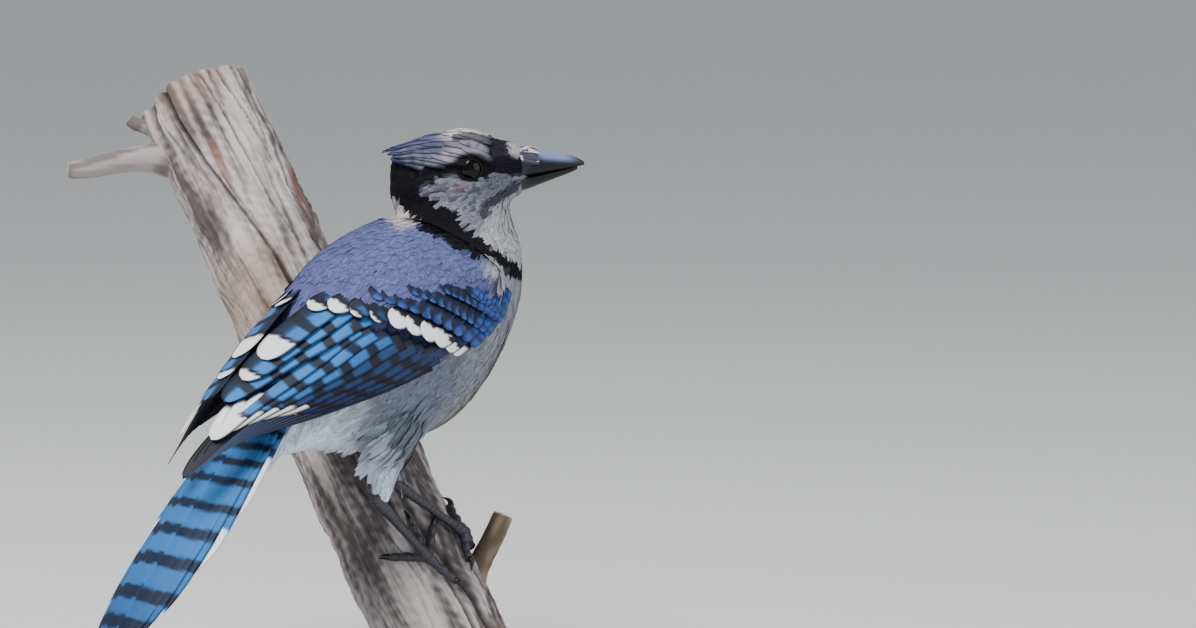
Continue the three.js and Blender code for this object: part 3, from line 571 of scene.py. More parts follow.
def plumage(p):
    """Colour of the coat at points: the species' markings as soft shapes in head and body coordinates."""
    (f, l, d), (x, _, z) = local(p)
    half, up, _, mid = station(TORSO_ROWS, np.clip(f, -66, 58))
    turn = np.degrees(np.arctan2(np.abs(l) / half, (d - mid) / up))
    jitter = ripple(p, 5, 71)
    reach = 60 + 38 * smooth(-34, -8, f) + 4 * jitter
    back = smooth(reach, reach - 18, turn) * smooth(-66, -56, f)
    over_collar = z + 18.4 + 0.86 * (x + 8.1)
    nape = smooth(1, -2, over_collar) * smooth(15, 11, x) * smooth(100, 78, turn)
    face = smooth(-2, 2, over_collar) * smooth(-39, -34, z)
    mottle = smooth(0.0, 0.5, ripple(p, 2.0, 73)) * smooth(9, 3, x) * smooth(-22, -17, z)
    stripe = 1.7 + 0.7 * smooth(-4, -20, x) + 0.8 * smooth(4, 10, x)
    band = 1.7 + 2.0 * smooth(-8, -24, x) + 0.9 * smooth(0, -8, x) + 1.7 * np.exp(-(((x + 8) / 6) ** 2))
    markings = [
        ("727884", smooth(5, 45, f) * 0.7),  # breast
        ("60677a", patch(f, d, -28, -6, 28, 13) * smooth(12, 26, np.abs(l)) * 0.85),  # flank
        ("8c8686", patch(f, d, 4, -34, 34, 12) * 0.6),  # belly
        ("d2dcec", smooth(-38, -54, f) * smooth(34, 24, d)),  # vent
        ("575e8e", back),
        ("6871a6", back * smooth(8, 34, f) * smooth(62, 20, turn) * 0.8),  # mantle, paler in the middle
        ("2f4f8c", back * smooth(66, 92, turn) * smooth(-22, -8, f) * 0.85),  # shoulder
        ("8f93a0", smooth(-38, -34, z) * smooth(0, 6, x)),  # front of the neck
        ("585f8e", smooth(-44, -40, z) * smooth(-13, -17, z) * nape),
        ("7b7d89", face),
        ("4a4c5a", face * mottle * 0.8),
        ("a2a4aa", patch(x, z, 13, -24, 9, 16)),  # throat
        ("595e70", patch(x, z, 10, -4.5, 5.5, 5) * 0.75),  # cheek beside the bill
        ("b5adb1", patch(x, z, -23, -13.5, 6.5, 6) * smooth(-11, -19, x)),  # white nape patch
        ("4c4e6c", smooth(2.0, 5.0, z + 0.42 * (x + 8)) * smooth(-2, -14, x)),  # under the crest
        ("99959d", patch(x, z, -4, 4.6, 11, 3.4) * (0.6 + 0.4 * ripple(p, 2.2, 72))),  # brow
        ("bdbbc0", smooth(9.0, 11.8, z) * smooth(-15, -6, x)),  # crown
        ("1d1c26", patch(x, z, 10.5, 6.2, 4.4, 5.4, 0.3) * 0.97),  # forehead bar
        ("2a2834", (along_line(x, z, [(-5, 11.0), (1, 11.6), (7, 10.0)]) < 1.3) * 0.85),  # crown streak
        ("b3afb4", patch(x, z, 17.5, 7.2, 3.2, 3.6) * 0.9),  # pale spot over the bill
        ("14131a", patch(x, z, 0.6, 0.6, 7.4, 5.6, 0.16)),  # round the eye
        ("14131a", 1 - smooth(stripe, stripe + 1.0, along_line(x, z, EYE_STRIPE) + 0.4 * jitter)),
        ("14131a", patch(x, z, -22, -2.5, 6, 5, 0.2)),  # where stripe and collar meet
        ("8a8c9a", (along_line(x, z, [(-3.5, -4.2), (0.5, -5.4), (4.5, -4.0)]) < 0.7) * 0.7),  # under-eye arc
        ("100f16", 1 - smooth(band, band + 1.1, along_line(x, z, COLLAR) + 0.5 * jitter)),
        ("26262f", (1 - smooth(0.7, 1.8, along_line(x, z, MALAR) + 0.5 * jitter)) * 0.85),
        ("8a6a66", patch(x, z, -3, -5.8, 3.0, 1.0) * 0.6),  # warm smudge below the eye
    ]
    tint = lin("82858f")
    for code, mask in markings:
        tint = tinted(tint, code, mask)
    return tint


def remeshed(name, parts, voxel, mat):
    """Joined lofts made one smooth closed surface by a voxel remesh and smoothing."""
    rough = link_mesh(name, mat, *gather(parts))
    grid = rough.modifiers.new("join", "REMESH")
    grid.mode = "VOXEL"
    grid.voxel_size = voxel * MM
    soft = rough.modifiers.new("soften", "SMOOTH")
    soft.iterations = 14
    soft.factor = 0.6
    graph = bpy.context.evaluated_depsgraph_get()
    mesh = bpy.data.meshes.new_from_object(rough.evaluated_get(graph))
    old = rough.data
    rough.modifiers.clear()
    rough.data = mesh
    bpy.data.meshes.remove(old)
    return rough


def coloured(name, roughness, **extra):
    """A material that takes its colour from the mesh's point colours."""
    m = material(name, "ffffff", roughness, **extra)
    source = node(m.node_tree, "ShaderNodeVertexColor", layer_name="Plumage")
    m.node_tree.links.new(source.outputs["Color"], m.node_tree.nodes["Principled BSDF"].inputs["Base Color"])
    return m


down_material = coloured("down", 0.95)
skin_parts = [torso_loft(-1.5), vent_loft(-1.5), neck_loft(-1.4), head_loft(-1.1)]
skin_parts += [thigh_loft(LEGS[s], -0.9) for s in LEGS]
skin_parts += [pad_loft(s, -0.8) for s in (-1, 1)]
skin = remeshed("skin", skin_parts, 1.25, down_material)
skin_at, skin_out = np.zeros((2, len(skin.data.vertices) * 3))
skin.data.vertices.foreach_get("co", skin_at)
skin.data.vertices.foreach_get("normal", skin_out)
skin_at, skin_out = skin_at.reshape(-1, 3) / MM, skin_out.reshape(-1, 3)
paint(skin.data, plumage(skin_at) * 0.8)
skin.data.polygons.foreach_set("use_smooth", np.full(len(skin.data.polygons), True))
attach(skin, "root")
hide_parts("torso", "neck", "head", "thigh_right", "thigh_left")


# Coat: the small body feathers, each a soft barbed vane over the skin, lying from bill to tail.
# They are smallest on the face and longest on the belly and flanks.
def lie(p, out):
    """Direction in which the feathers lie at points of the skin, flat on it."""
    (f, l, d), (x, y, z) = local(p)
    head = smooth(-34, -20, z)[:, None]
    from_bill = unit(np.stack([x - 23, y * 0.55, z + 1], axis=1))
    from_bill[:, 2] -= smooth(-8, -22, x) * smooth(9, 1, z) * 1.3
    to_head = from_bill[:, :1] * HEAD_F + from_bill[:, 1:2] * HEAD_L + from_bill[:, 2:] * HEAD_U
    front = smooth(10, 45, f)[:, None] * smooth(10, -15, d)[:, None]
    to_tail = -BODY_F + np.array([0, 0, -0.55]) * front
    low = smooth(-36, -46, p[:, 2] - TORSO[2])[:, None]
    to_tail = to_tail * (1 - low * 0.7) + np.array([-0.25, 0, -1.0]) * low
    flow = to_tail * (1 - head) + to_head * head
    flow = flow - out * (flow * out).sum(axis=1, keepdims=True)
    return unit(flow)


def cell_key(p, cell):
    """A whole number for the cell of a cubic grid that each point lies in."""
    c = np.floor(p / cell).astype(np.int64)
    return c[:, 0] * 1_000_003 + c[:, 1] * 1009 + c[:, 2]


def first_of_each(keys, order):
    """The first place of each run of equal keys in an order that sorts them."""
    return order[np.concatenate([[True], np.diff(keys[order]) != 0])]


def chosen(mask, spacing, seed):
    """Indices of skin points, the most central one of each cell of a cubic grid of that spacing."""
    index = np.flatnonzero(mask)
    p = skin_at[index] / spacing + np.random.default_rng(seed).uniform(0, 1, 3)
    off = ((p - np.floor(p) - 0.5) ** 2).sum(axis=1)
    keys = cell_key(p, 1)
    return index[first_of_each(keys, np.lexsort((off, keys)))]


def barbed_vane(barbs):
    """Flat feather of unit length and half width: quads from the shaft to a fringed outline, both sides."""
    i = np.arange(barbs)
    y0, y1 = 0.86 * i / barbs, np.minimum(0.86 * (i + 1.7) / barbs, 0.97)
    wide = np.sin(np.pi * (0.14 + 0.74 * (y0 + y1) / 2 + 0.1)) ** 0.7
    quads = []
    for side in (-1, 1):
        a = np.stack([np.zeros(barbs), y0], axis=1)
        b = np.stack([np.zeros(barbs), y1], axis=1)
        c = np.stack([side * wide * 0.8, np.minimum(y1 + 0.2, 1.02)], axis=1)
        e = np.stack([side * wide, np.minimum(y0 + 0.17, 0.98)], axis=1)
        quads.append(np.stack([a, e, c, b] if side > 0 else [a, b, c, e], axis=1))
    flat = np.concatenate(quads).reshape(-1, 2)
    return flat, np.arange(len(flat)).reshape(-1, 4)


def skin_height(p, out, fallback):
    """Rise along out from points to the skin's nearest tangent plane, found in a grid of 2.5 mm cells."""
    cell = 2.5
    keys = cell_key(skin_at, cell)
    order = first_of_each(keys, np.argsort(keys, kind="stable"))
    keys = keys[order]
    best = np.full(len(p), 1e9)
    rise = fallback.copy()
    for shift in np.stack(np.meshgrid(*[(-1, 0, 1)] * 3), axis=-1).reshape(-1, 3):
        wanted = cell_key(p + shift * cell, cell)
        spot = np.minimum(np.searchsorted(keys, wanted), len(keys) - 1)
        q, normal = skin_at[order[spot]], skin_out[order[spot]]
        gap = np.linalg.norm(p - q, axis=1)
        facing = (normal * out).sum(axis=1)
        use = (keys[spot] == wanted) & (gap < best) & (facing > 0.2)
        best = np.where(use, gap, best)
        rise = np.where(use, ((q - p) * normal).sum(axis=1) / np.maximum(facing, 0.2), rise)
    return np.clip(rise, -3.5, 3.5)


def coat_mesh(root, out, flow, base, uv, seed, length, width, barbs, lift, bend):
    """Barbed vanes set on roots: each turned along its flow, bent to follow the skin and jittered."""
    rng = np.random.default_rng(seed)
    n = len(root)
    flow = unit(flow + unit(np.cross(out, flow)) * rng.normal(0, 0.13, (n, 1)))
    side = unit(np.cross(out, flow))
    flat, quads = barbed_vane(barbs)
    x = flat[None, :, 0] * (1 + rng.normal(0, 0.09, (n, len(flat))))
    y = flat[None, :, 1] * (1 + rng.normal(0, 0.035, (n, len(flat))))
    size = rng.uniform(0.82, 1.18, (n, 1))
    across, forth = x * width * 0.5 * size, y * length * size
    far = length * size[:, 0]
    fall = skin_height(root + flow * far[:, None], out, -(far**2) / (2 * bend))
    rise = 0.16 + lift * forth * (1 - 0.35 * y) + fall[:, None] * y**2 - across**2 / (1.3 * bend)
    rise = rise + rng.uniform(0, 0.25, (n, 1)) * y
    p = root[:, None] + side[:, None] * across[..., None] + flow[:, None] * forth[..., None]
    p = p + out[:, None] * rise[..., None]
    tone = (1 + rng.normal(0, 0.05, (n, 1, 1))) * (0.9 + 0.14 * np.clip(y, 0, 1))[..., None]
    streak = 1 + np.repeat(rng.normal(0, 0.15, (n, len(flat) // 4, 1)), 4, axis=1)
    colours = base[:, None] * tone * streak
    faces = (quads[None] + (np.arange(n) * len(flat))[:, None, None]).reshape(-1, 4)
    map_uv = uv[:, None] + np.stack([x * 0.0015, y * 0.003], axis=-1)
    return p.reshape(-1, 3), faces, colours.reshape(-1, 3), map_uv.reshape(-1, 2)


def skin_unwrap(p, headward):
    """Place of skin points on an unwrap of their own shape: turn round the axis, and way along it."""
    (f, l, d), (x, y, z) = local(p)
    turn = np.arctan2(y, x + 6) if headward else np.arctan2(l, d - 4)
    along = (z + 55) / 72 if headward else (f + 95) / 165
    return 0.02 + 0.95 * np.stack([turn / (2 * math.pi) + 0.5, np.clip(along, 0, 1)], axis=1)


(skin_f, _, skin_d), (skin_x, _, skin_z) = local(skin_at)
skin_low = TORSO[2] - skin_at[:, 2]
feather_material = coloured("body_feathers", 0.8, Specular_IOR_Level=0.12)

# Bare places: round the eye, where the bill grows, and where the shank comes out of the thigh
eye_gap = np.hypot(skin_x - 0.2, skin_z - 0.2) < 4.7
on_head = skin_z > -34
mouth = (skin_x > 19.5) & (np.abs(skin_z) < 9)
low_leg = (skin_low > 36) & (skin_d < -8)
shank_end = (low_leg & (skin_low > 47) & (skin_out[:, 2] < -0.45)) | (skin_low > 54)

# Zones of the coat: name, where, spacing, whether on the head, then length, width, barbs, lift, bend
face = on_head & (skin_x > -3) & (skin_z > -15) & ~eye_gap & ~mouth
cheek = on_head & (skin_x <= -3) & (skin_z > -19) & ~eye_gap
nape = on_head & (skin_z <= -15) & ~face & ~cheek
vent = (skin_f < -34) & (skin_f > -78) & (skin_d < 30) & ~low_leg
rump_gap = (skin_f < -16) & (skin_d > 18) & (skin_out @ BODY_D < 0.45)
body = ~on_head & ~low_leg & ~vent & ~rump_gap & (skin_f > -78)
zones = [
    ("coat_face", face, 1.2, True, (3.0, 1.3, 5, 0.08, 14.0)),
    ("coat_cheek", cheek, 1.5, True, (4.6, 1.8, 6, 0.07, 16.0)),
    ("coat_neck", nape, 1.7, True, (6.2, 2.4, 7, 0.06, 22.0)),
    ("coat_back", body & (skin_d > 2), 1.8, False, (12.0, 2.6, 10, 0.022, 30.0)),
    ("coat_belly", body & (skin_d <= 2), 2.0, False, (12.0, 3.4, 10, 0.06, 30.0)),
    ("coat_vent", vent, 2.0, False, (15.0, 4.2, 11, 0.06, 40.0)),
    ("coat_thigh", low_leg & ~shank_end, 1.3, False, (5.0, 1.5, 7, 0.0, 16.0)),
]
for number, (name, mask, spacing, headward, feather) in enumerate(zones):
    pick = chosen(mask, spacing, 100 + number)
    root, out = skin_at[pick], skin_out[pick]
    flow = lie(root, out)
    base, uv = plumage(root + flow * feather[0] * 0.6), skin_unwrap(root, headward)
    vanes = coat_mesh(root, out, flow, base, uv, 200 + number, *feather)
    coat = link_mesh(name, feather_material, *vanes)
    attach(coat, "root")


# Wings: folded flight feathers and coverts, blue with black bars and white tips, stiff smooth vanes.
# Outer feathers lie under inner ones. Every vane is a thin closed blade on the wing's surface.
def blade(centre, side, out, low, high, thick, cols, camber=0.05):
    """Closed thin blade: at each station a flat ring from the lower to the upper edge and back."""
    n = len(centre)
    k = np.linspace(-1, 1, cols)
    ring = np.concatenate([k, k[-2:0:-1]])
    face = np.concatenate([np.ones(cols), -np.ones(cols - 2)])
    across = np.where(ring < 0, low[:, None], high[:, None]) * ring
    rise = (1 - ring**2) * face * thick / 2 - camber * across**2 / 6
    p = centre[:, None] + side[:, None] * across[..., None] + out[:, None] * rise[..., None]
    m = len(ring)
    faces = grid_faces(n, m).tolist() + [list(range(m))[::-1], list(range((n - 1) * m, n * m))]
    return p.reshape(-1, 3), faces, np.repeat(np.linspace(0, 1, n), m), np.tile(ring, n)


def outline(s, blunt, root):
    """Half width of a vane from root to tip as a share of the widest: narrow root, even blade, round tip."""
    grow = root + (1 - root) * smooth(0, 0.35, s)
    return grow * np.clip(1 - np.clip((s - 0.72) / 0.28, 0, 1) ** blunt, 0.0, 1) ** 0.5 + 0.02


def path_frame(c, out):
    """Side and outward direction along a path, square to it and to each other."""
    along = unit(np.gradient(c, axis=0))
    side = unit(np.cross(out, along))
    return side, unit(np.cross(along, side))


def wing_path(sign, start, end, n):
    """Centre line, side and outward direction of a feather between two places on the wing's surface."""
    u = np.linspace(0, 1, n)
    f = start[0] + (end[0] - start[0]) * u
    phi = start[1] + (end[1] - start[1]) * u**0.9
    h = start[2] + (end[2] - start[2]) * u
    c = wing_point(sign, f, phi, h)
    side, out = path_frame(c, unit(wing_point(sign, f, phi, h + 1) - c))
    return c, side * sign, out


BLACK = "12131f"
# Length of one blue and one black field, and of the black one
BAR_PITCHES = {
    "secondary": (11.4, 4.4),
    "tertial": (11.0, 4.1),
    "greater": (9.2, 3.5),
    "median": (4.8, 2.2),
    "lesser": (3.6, 1.7),
}


def flight_colour(kind, s, x, length, share, seed):
    """Markings of a wing feather from the way along it, the way across it and its place in its row."""
    rng = np.random.default_rng(seed)
    left = (1 - s) * length
    wob = 0.5 * np.sin(x * 2.2 + rng.uniform(0, 6)) + rng.uniform(-0.5, 0.5)
    if kind == "primary":
        base = tinted(lin("1f2a4a"), "11141f", smooth(-0.85, -0.6, x) * 0.95)
        base = tinted(base, "7f93b6", smooth(-0.94, -1.0, x) * 0.4 * (0.4 + share))
        return tinted(base, BLACK, smooth(0.62, 0.3, s) * 0.7)
    if kind == "alula":
        base = tinted(lin("1f2a4c"), "54688f", smooth(-0.75, -0.95, x) * 0.7)
        return tinted(base, BLACK, smooth(-0.1, 0.3, x))
    pitch, bar = BAR_PITCHES[kind]
    phase = (left + wob + rng.uniform(0, pitch)) % pitch
    bars = smooth(pitch - bar - 0.5, pitch - bar, phase) * smooth(pitch, pitch - 0.5, phase) * 0.96
    base = lin("2f74b8") * (1 + 0.12 * np.sin(x * 3 + s * 9))[:, None]
    white = 0.0
    if kind in ("median", "lesser"):
        base = tinted(lin("23498f"), "3f63ae", smooth(0.2, -0.8, x) * 0.6)
        bars = bars * 0.6
    elif kind == "secondary":
        base = tinted(base, "161c40", 0.9 * smooth(0.8, 0.4, share))
        white = 13.0 * smooth(0.12, 0.4, share)
    elif kind == "greater":
        base = tinted(base, "161c40", 0.85 * smooth(0.95, 0.55, share))
        white = 1.2 if 0.55 < share < 0.8 else rng.uniform(3.6, 5.6)
    elif share > 0.4:
        white = 10.5 if share > 0.9 else 4.0
    base = tinted(base, BLACK, bars)
    base = tinted(base, "141625", smooth(0.1, 0.3, x) * 0.95)
    base = tinted(base, "10131f", smooth(-0.8, -1.0, x) * 0.7)
    if white:
        cut = left + wob + 1.3 * x + 0.4 * np.sin(9 * x)
        base = tinted(base, BLACK, smooth(white + 2.4, white + 1.4, cut))
        base = tinted(base, "eceef2", smooth(white + 0.5, white - 0.3, cut) * smooth(-0.98, -0.85, x))
    return base


# Tiers from the outermost in: kind, number, places of the lowest and topmost feather's root and tip
# (along the body, degrees round it, height off it), their half widths, rings, tilt
WING_TIERS = [
    ("primary", 9, [(-18, 93, 0.2), (-30, 66, 0.6)], [(-76, 74, 0.6), (-104, 38, 1.0)], (3.0, 4.6), 56, 0.22),
    ("secondary", 8, [(-14, 88, 0.8), (-26, 44, 1.2)], [(-60, 70, 1.8), (-88, 34, 2.4)], (5.2, 5.4), 60, 0.2),
    ("tertial", 3, [(-20, 42, 1.4), (-12, 22, 1.8)], [(-74, 15, 3.2), (-54, 15, 4.2)], (7.2, 7.6), 60, 0.16),
    ("alula", 5, [(6, 93, 0.5), (0, 87, 0.7)], [(-48, 82, 1.0), (-36, 76, 1.4)], (1.4, 1.8), 40, 0.16),
    ("greater", 10, [(4, 93, 0.9), (-10, 26, 1.0)], [(-10, 90, 2.6), (-28, 12, 3.8)], (4.2, 5.6), 36, 0.16),
    ("median", 10, [(12, 96, 1.2), (0, 40, 1.4)], [(-3, 94, 3.0), (-14, 36, 4.0)], (3.6, 4.4), 24, 0.14),
    ("lesser", 11, [(19, 97, 1.2), (7, 50, 1.4)], [(4, 96, 3.3), (-5, 50, 4.2)], (3.0, 3.6), 20, 0.14),
    ("lesser", 10, [(25, 94, 1.2), (14, 60, 1.4)], [(11, 97, 3.5), (3, 62, 4.2)], (2.9, 3.4), 18, 0.14),
    ("lesser", 7, [(25, 86, 1.0), (20, 70, 1.2)], [(13, 93, 3.2), (9, 74, 3.8)], (2.8, 3.2), 18, 0.14),
]


def between(pair, share):
    """Value at a share of the way from one list of numbers to another."""
    return [a + (b - a) * share for a, b in zip(*pair)]


def wing_mesh(sign):
    """All the feathers of one folded wing, tier by tier from the outermost inwards."""
    parts = []
    for tier, (kind, number, roots, tips, (narrow, wide), n, tilt) in enumerate(WING_TIERS):
        for i in range(number):
            share = (i / (number - 1)) ** (1.3 if kind in ("secondary", "greater") else 1)
            end = between(tips, share)
            if sign > 0:
                end = (max(end[0], -99), end[1], end[2] - 0.9 * (kind == "tertial"))
            c, side, out = wing_path(sign, between(roots, share), end, n)
            lean = math.tan(tilt * 0.45)
            side, out = unit(side - out * lean), unit(out - side * lean)
            length = np.linalg.norm(np.diff(c, axis=0), axis=1).sum()
            blunt, lower = (1.7, 0.55) if kind == "primary" else (3.0, 0.8)
            half = (narrow + (wide - narrow) * share) * outline(np.linspace(0, 1, n), blunt, 0.6)
            v, f, s, x = blade(c, side, out, half * lower, half, 0.22, 9, 0.03)
            f = [q[::-1] for q in f] if sign > 0 else f
            parts.append((v, f, flight_colour(kind, s, x, length, share, 900 + 40 * tier + i)))
    return gather(parts)


vane_material = coloured("feather_vanes", 0.55, Specular_IOR_Level=0.25)
for side_name, sign in (("right", -1), ("left", 1)):
    wing = link_mesh("wing_feathers_" + side_name, vane_material, *wing_mesh(sign))
    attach(wing, "root")
    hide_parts("wing_" + side_name)


# Tail: twelve stiff feathers, the middle pair on top, blue with black bars, the outer ones tipped white.
# Each is a closed blade rooted under the rump, and they fan out a little downwards.
TAIL_LENGTH = 117.0
TAIL_ROOT = body_point(-46.0, 0.0, 25.5)
# From the middle pair out: how much shorter each is, and how far it lies from the middle
RECTRICES = [(0, 2.6), (1, 5.4), (4, 8.0), (12, 10.6), (33, 13.8), (55, 16.6)]
# Places of the bars from the root, and the length of the white tips of the outer pairs
TAIL_BARS = np.array([107, 95, 81, 69, 58, 47, 39, 32, 25])
WHITE_TIPS = {3: 9.0, 4: 22.0, 5: 30.0}


def tail_point(s, y, h):
    """Point at s down the tail, y across it and h above it; the tail droops a little to its tip."""
    bend = BODY_PITCH + np.radians(4.5 + 6 * (s / TAIL_LENGTH))
    mid = BODY_PITCH + np.radians(4.5 + 3 * (s / TAIL_LENGTH))
    back = np.stack([-np.cos(mid), np.zeros_like(mid), -np.sin(mid)], axis=-1)
    up = np.stack([-np.sin(bend), np.zeros_like(bend), np.cos(bend)], axis=-1)
    return TAIL_ROOT + back * s[..., None] + BODY_L * y[..., None] + up * h[..., None]


def tail_feather(sign, index):
    """One tail feather as a closed blade with its bars, edges and tip coloured."""
    shortfall, place = RECTRICES[index]
    length = TAIL_LENGTH - shortfall
    u = np.linspace(0, 1, 120)
    s = 4 + (length - 4) * u
    y = sign * place * (0.3 + 0.7 * np.minimum(s / 70, 1) ** 0.8)
    layer = 1.3 - index * 0.38 + (0.19 if sign > 0 else 0)
    h = layer * (0.5 + 0.5 * u) - y * y / 90
    c = tail_point(s, y, h)
    out = unit(tail_point(s, y, h + 1) - c)
    half = 6.9 * outline(u, 2.4, 0.5)
    v, f, along, x = blade(c, path_frame(c, out)[0], out, half, half, 0.24, 11, 0.16)
    at = 4 + (length - 4) * along
    rng = np.random.default_rng(700 + index * 2 + (sign > 0))
    outer = x * sign
    base = tinted(lin("2b6eae"), "4088c4", smooth(0.1, 0.9, outer) * 0.5)
    base = tinted(base, "184682", smooth(70, 117, at) * 0.7)
    wob = 1.2 * x**2 + 0.5 * np.sin(x * 3 + rng.uniform(0, 6)) + rng.uniform(-0.8, 0.8)
    gap = np.abs(at[:, None] + wob[:, None] - TAIL_BARS[None]).min(axis=1)
    thick = 1.6 + 1.2 * smooth(40, 100, at)
    base = tinted(base, "0c1428", smooth(thick + 0.4, thick - 0.4, gap) * 0.95)
    if index in WHITE_TIPS:
        start = length - WHITE_TIPS[index]
        base = tinted(base, "eef2f6", smooth(start, start + 1.5, at + 2 * outer))
    if index >= 4:
        base = tinted(base, "e2e9f1", smooth(-0.3, 0.0, outer) * smooth(8, 18, at) * 0.95)
    elif index == 3:
        base = tinted(base, "e2e9f1", smooth(0.45, 0.7, outer) * smooth(55, 75, at) * 0.9)
    return v, f, base


rectrices = [tail_feather(sign, i) for i in range(5, -1, -1) for sign in (-1, 1)]
tail = link_mesh("tail_feathers", vane_material, *gather(rectrices))
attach(tail, "root")
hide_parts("tail")


# Crest: longer narrow feathers of the crown, laid flat and drawn back to a point behind the head.
# Each is a thin closed blade rooted in the skin. Rows from the front: place, number, length.
CREST_ROWS = [
    (8, 9, 13),
    (4, 11, 14),
    (0, 12, 15),
    (-4, 13, 16),
    (-8, 12, 16),
    (-12, 11, 15),
    (-16, 9, 13),
    (-19, 7, 11),
]


def crest_mesh():
    """Rows of blades from the forehead back: each follows the crown's dome, then a line to the tip."""
    parts = []
    rng = np.random.default_rng(31)
    for row, (start, number, long) in enumerate(CREST_ROWS):
        for i in range(number):
            k = (i + 0.5 * (row % 2) - (number - 0.5) / 2) / (number / 2) + rng.uniform(-0.04, 0.04)
            u = np.linspace(0, 1, 16)
            reach = max(start - long * rng.uniform(0.85, 1.1), -30.5 + 6 * abs(k) ** 1.5)
            x = start + rng.uniform(-1, 1) + (reach - start) * u
            top, bottom, half = station(HEAD_ROWS, np.maximum(x, -20))
            turn = np.radians(72 * k * (1 - 0.25 * u))
            past = np.maximum(-20 - x, 0)
            mid = (top + bottom) / 2
            y = half * (1 - 0.055 * past) * np.sin(turn)
            z = mid + (top - mid) * np.cos(turn) * (1 - 0.004 * past) - 0.36 * past - 0.9
            z = z + (0.9 + 0.5 * (row > 4)) * u
            out = unit(HEAD_U * np.cos(turn)[:, None] + HEAD_L * np.sin(turn)[:, None])
            c = head_point(x, y, z) + out * 0.5
            half = 2.0 * outline(u, 2.4, 0.7) * (1 - 0.35 * u**2)
            v, f, _, across = blade(c, *path_frame(c, out), half, half, 0.2, 5, 0.1)
            where = (v - EYE_LEVEL) @ HEAD_F
            high = smooth(40, 20, np.degrees(np.abs(turn)).mean())
            tone = tinted(plumage(v), "4e5170", smooth(-4, -16, where) * (0.5 + 0.5 * high))
            tone = tinted(tone, "2f3660", smooth(-22, -30, where) * 0.85)
            tone = tone * rng.uniform(0.85, 1.12) * (1 - 0.2 * smooth(0.8, 1.0, np.abs(across)))[:, None]
            parts.append((v, f, tone))
    return gather(parts)


crest = link_mesh("crest_feathers", feather_material, *crest_mesh())
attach(crest, "root")


# Bill: two black horny halves, closed on each other, with a painted blue-grey highlight along the top ridge.
# They grow out of the face. Stations: place ahead of the eyes, top, bottom, half width.
BILL_UPPER = [
    [12, 6.4, -4.9, 5.4],
    [19, 6.2, -3.6, 4.9],
    [25, 5.9, -2.6, 3.9],
    [31, 5.3, -1.3, 2.9],
    [36, 4.4, -0.2, 1.9],
    [39.2, 3, 0.5, 1],
    [40.8, 1.9, 0.9, 0.4],
]
BILL_LOWER = [
    [12, -4.5, -9.4, 5.0],
    [19, -3.2, -8.2, 4.5],
    [25, -2.2, -6, 3.5],
    [31, -0.9, -3.7, 2.4],
    [36, 0.1, -1.8, 1.3],
    [38.4, 0.5, -0.6, 0.5],
]
bill_material = coloured("horn", 0.4, Specular_IOR_Level=0.3)
for name, rows, node_name in (
    ("bill_top", BILL_UPPER, "bill_upper"),
    ("bill_bottom", BILL_LOWER, "bill_lower"),
):
    stops = np.linspace(rows[0][0], rows[-1][0], 60)
    top, bottom, half = station(rows, stops)
    share = 0.25 if node_name == "bill_upper" else 0.75
    mid = top * share + bottom * (1 - share)
    verts, faces = oval_loft(head_point, stops, half, top - mid, mid - bottom, mid, 40)
    _, (x, _, z) = local(verts)
    # The blue-grey along the top ridge of the upper half is a painted highlight on the black horn.
    ridge = smooth(2.6, 4.8, z + 0.09 * (x - 20)) * (node_name == "bill_upper")
    tint = tinted(lin("0d0d11"), "7484ad", ridge * smooth(41, 33, x) * 0.9)
    tint = tinted(tint, "4b4f5c", smooth(23, 15, x) * 0.5)
    bill = link_mesh(name, bill_material, verts, faces, tint)
    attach(bill, "root")
    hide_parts(node_name)


# Bristles: short stiff feathers over the nostrils, pointing forward along the bill.
# They are rooted at the forehead's front edge, paler on top and darker at the sides.
def bristle_mesh():
    """Narrow blades from the forehead's front edge forward over the bill's root."""
    parts = []
    rng = np.random.default_rng(77)
    for i in range(90):
        turn = math.radians(rng.uniform(-88, 88))
        x0 = rng.uniform(15.5, 19.5)
        y0, z0 = 4.9 * math.sin(turn), 2.2 + 5.0 * math.cos(turn)
        long = rng.uniform(4.5, 7.5) * (0.75 + 0.25 * abs(math.sin(turn)))
        u = np.linspace(0, 1, 7)
        z = z0 + 0.9 * np.sin(u * 2.6) * math.cos(turn) - 1.1 * u
        c = head_point(x0 + long * u, y0 * (1 - 0.1 * u), z)
        side, out = path_frame(c, unit(HEAD_U * math.cos(turn) + HEAD_L * math.sin(turn)))
        half = 0.55 * outline(u, 1.5, 0.6)
        v, f, _, _ = blade(c, side, out, half, half, 0.15, 4)
        pale = lin("cfcbd0" if rng.uniform() < 0.62 - 0.4 * abs(math.sin(turn)) else "4c4d5e")
        parts.append((v, f, pale * (0.8 + 0.3 * rng.uniform()) * np.ones((len(v), 1))))
    return gather(parts)


bristles = link_mesh("nasal_bristles", feather_material, *bristle_mesh())
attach(bristles, "root")


# Eyes: dark brown, nearly black wet balls, each in a ring of bare dark lid skin.
# The ball sits in the skull, a little flattened, and the lids lie on it.
eye_material = material("eye", "040303", 0.07, Specular_IOR_Level=0.22)
lid_material = material("lid_skin", "0d0b0e", 0.6, Specular_IOR_Level=0.15)
EYE_RADIUS = 4.5
LID_RINGS, LID_SIDES = 48, 12


def ball(centre, radius, squash, axis, rows=32, cols=48):
    """Sphere flattened along an axis, as rings between two poles."""
    a = np.linspace(0, math.pi, rows + 2)[1:-1, None, None]
    w = around(cols)[None, :, None]
    q = unit(np.cross(axis, HEAD_U))
    r = np.cross(q, axis)
    ring = np.cos(a) * squash * axis + np.sin(a) * (np.cos(w) * q + np.sin(w) * r)
    return capped(centre + radius * ring, np.stack([centre + axis * radius * squash * k for k in (1, -1)]))


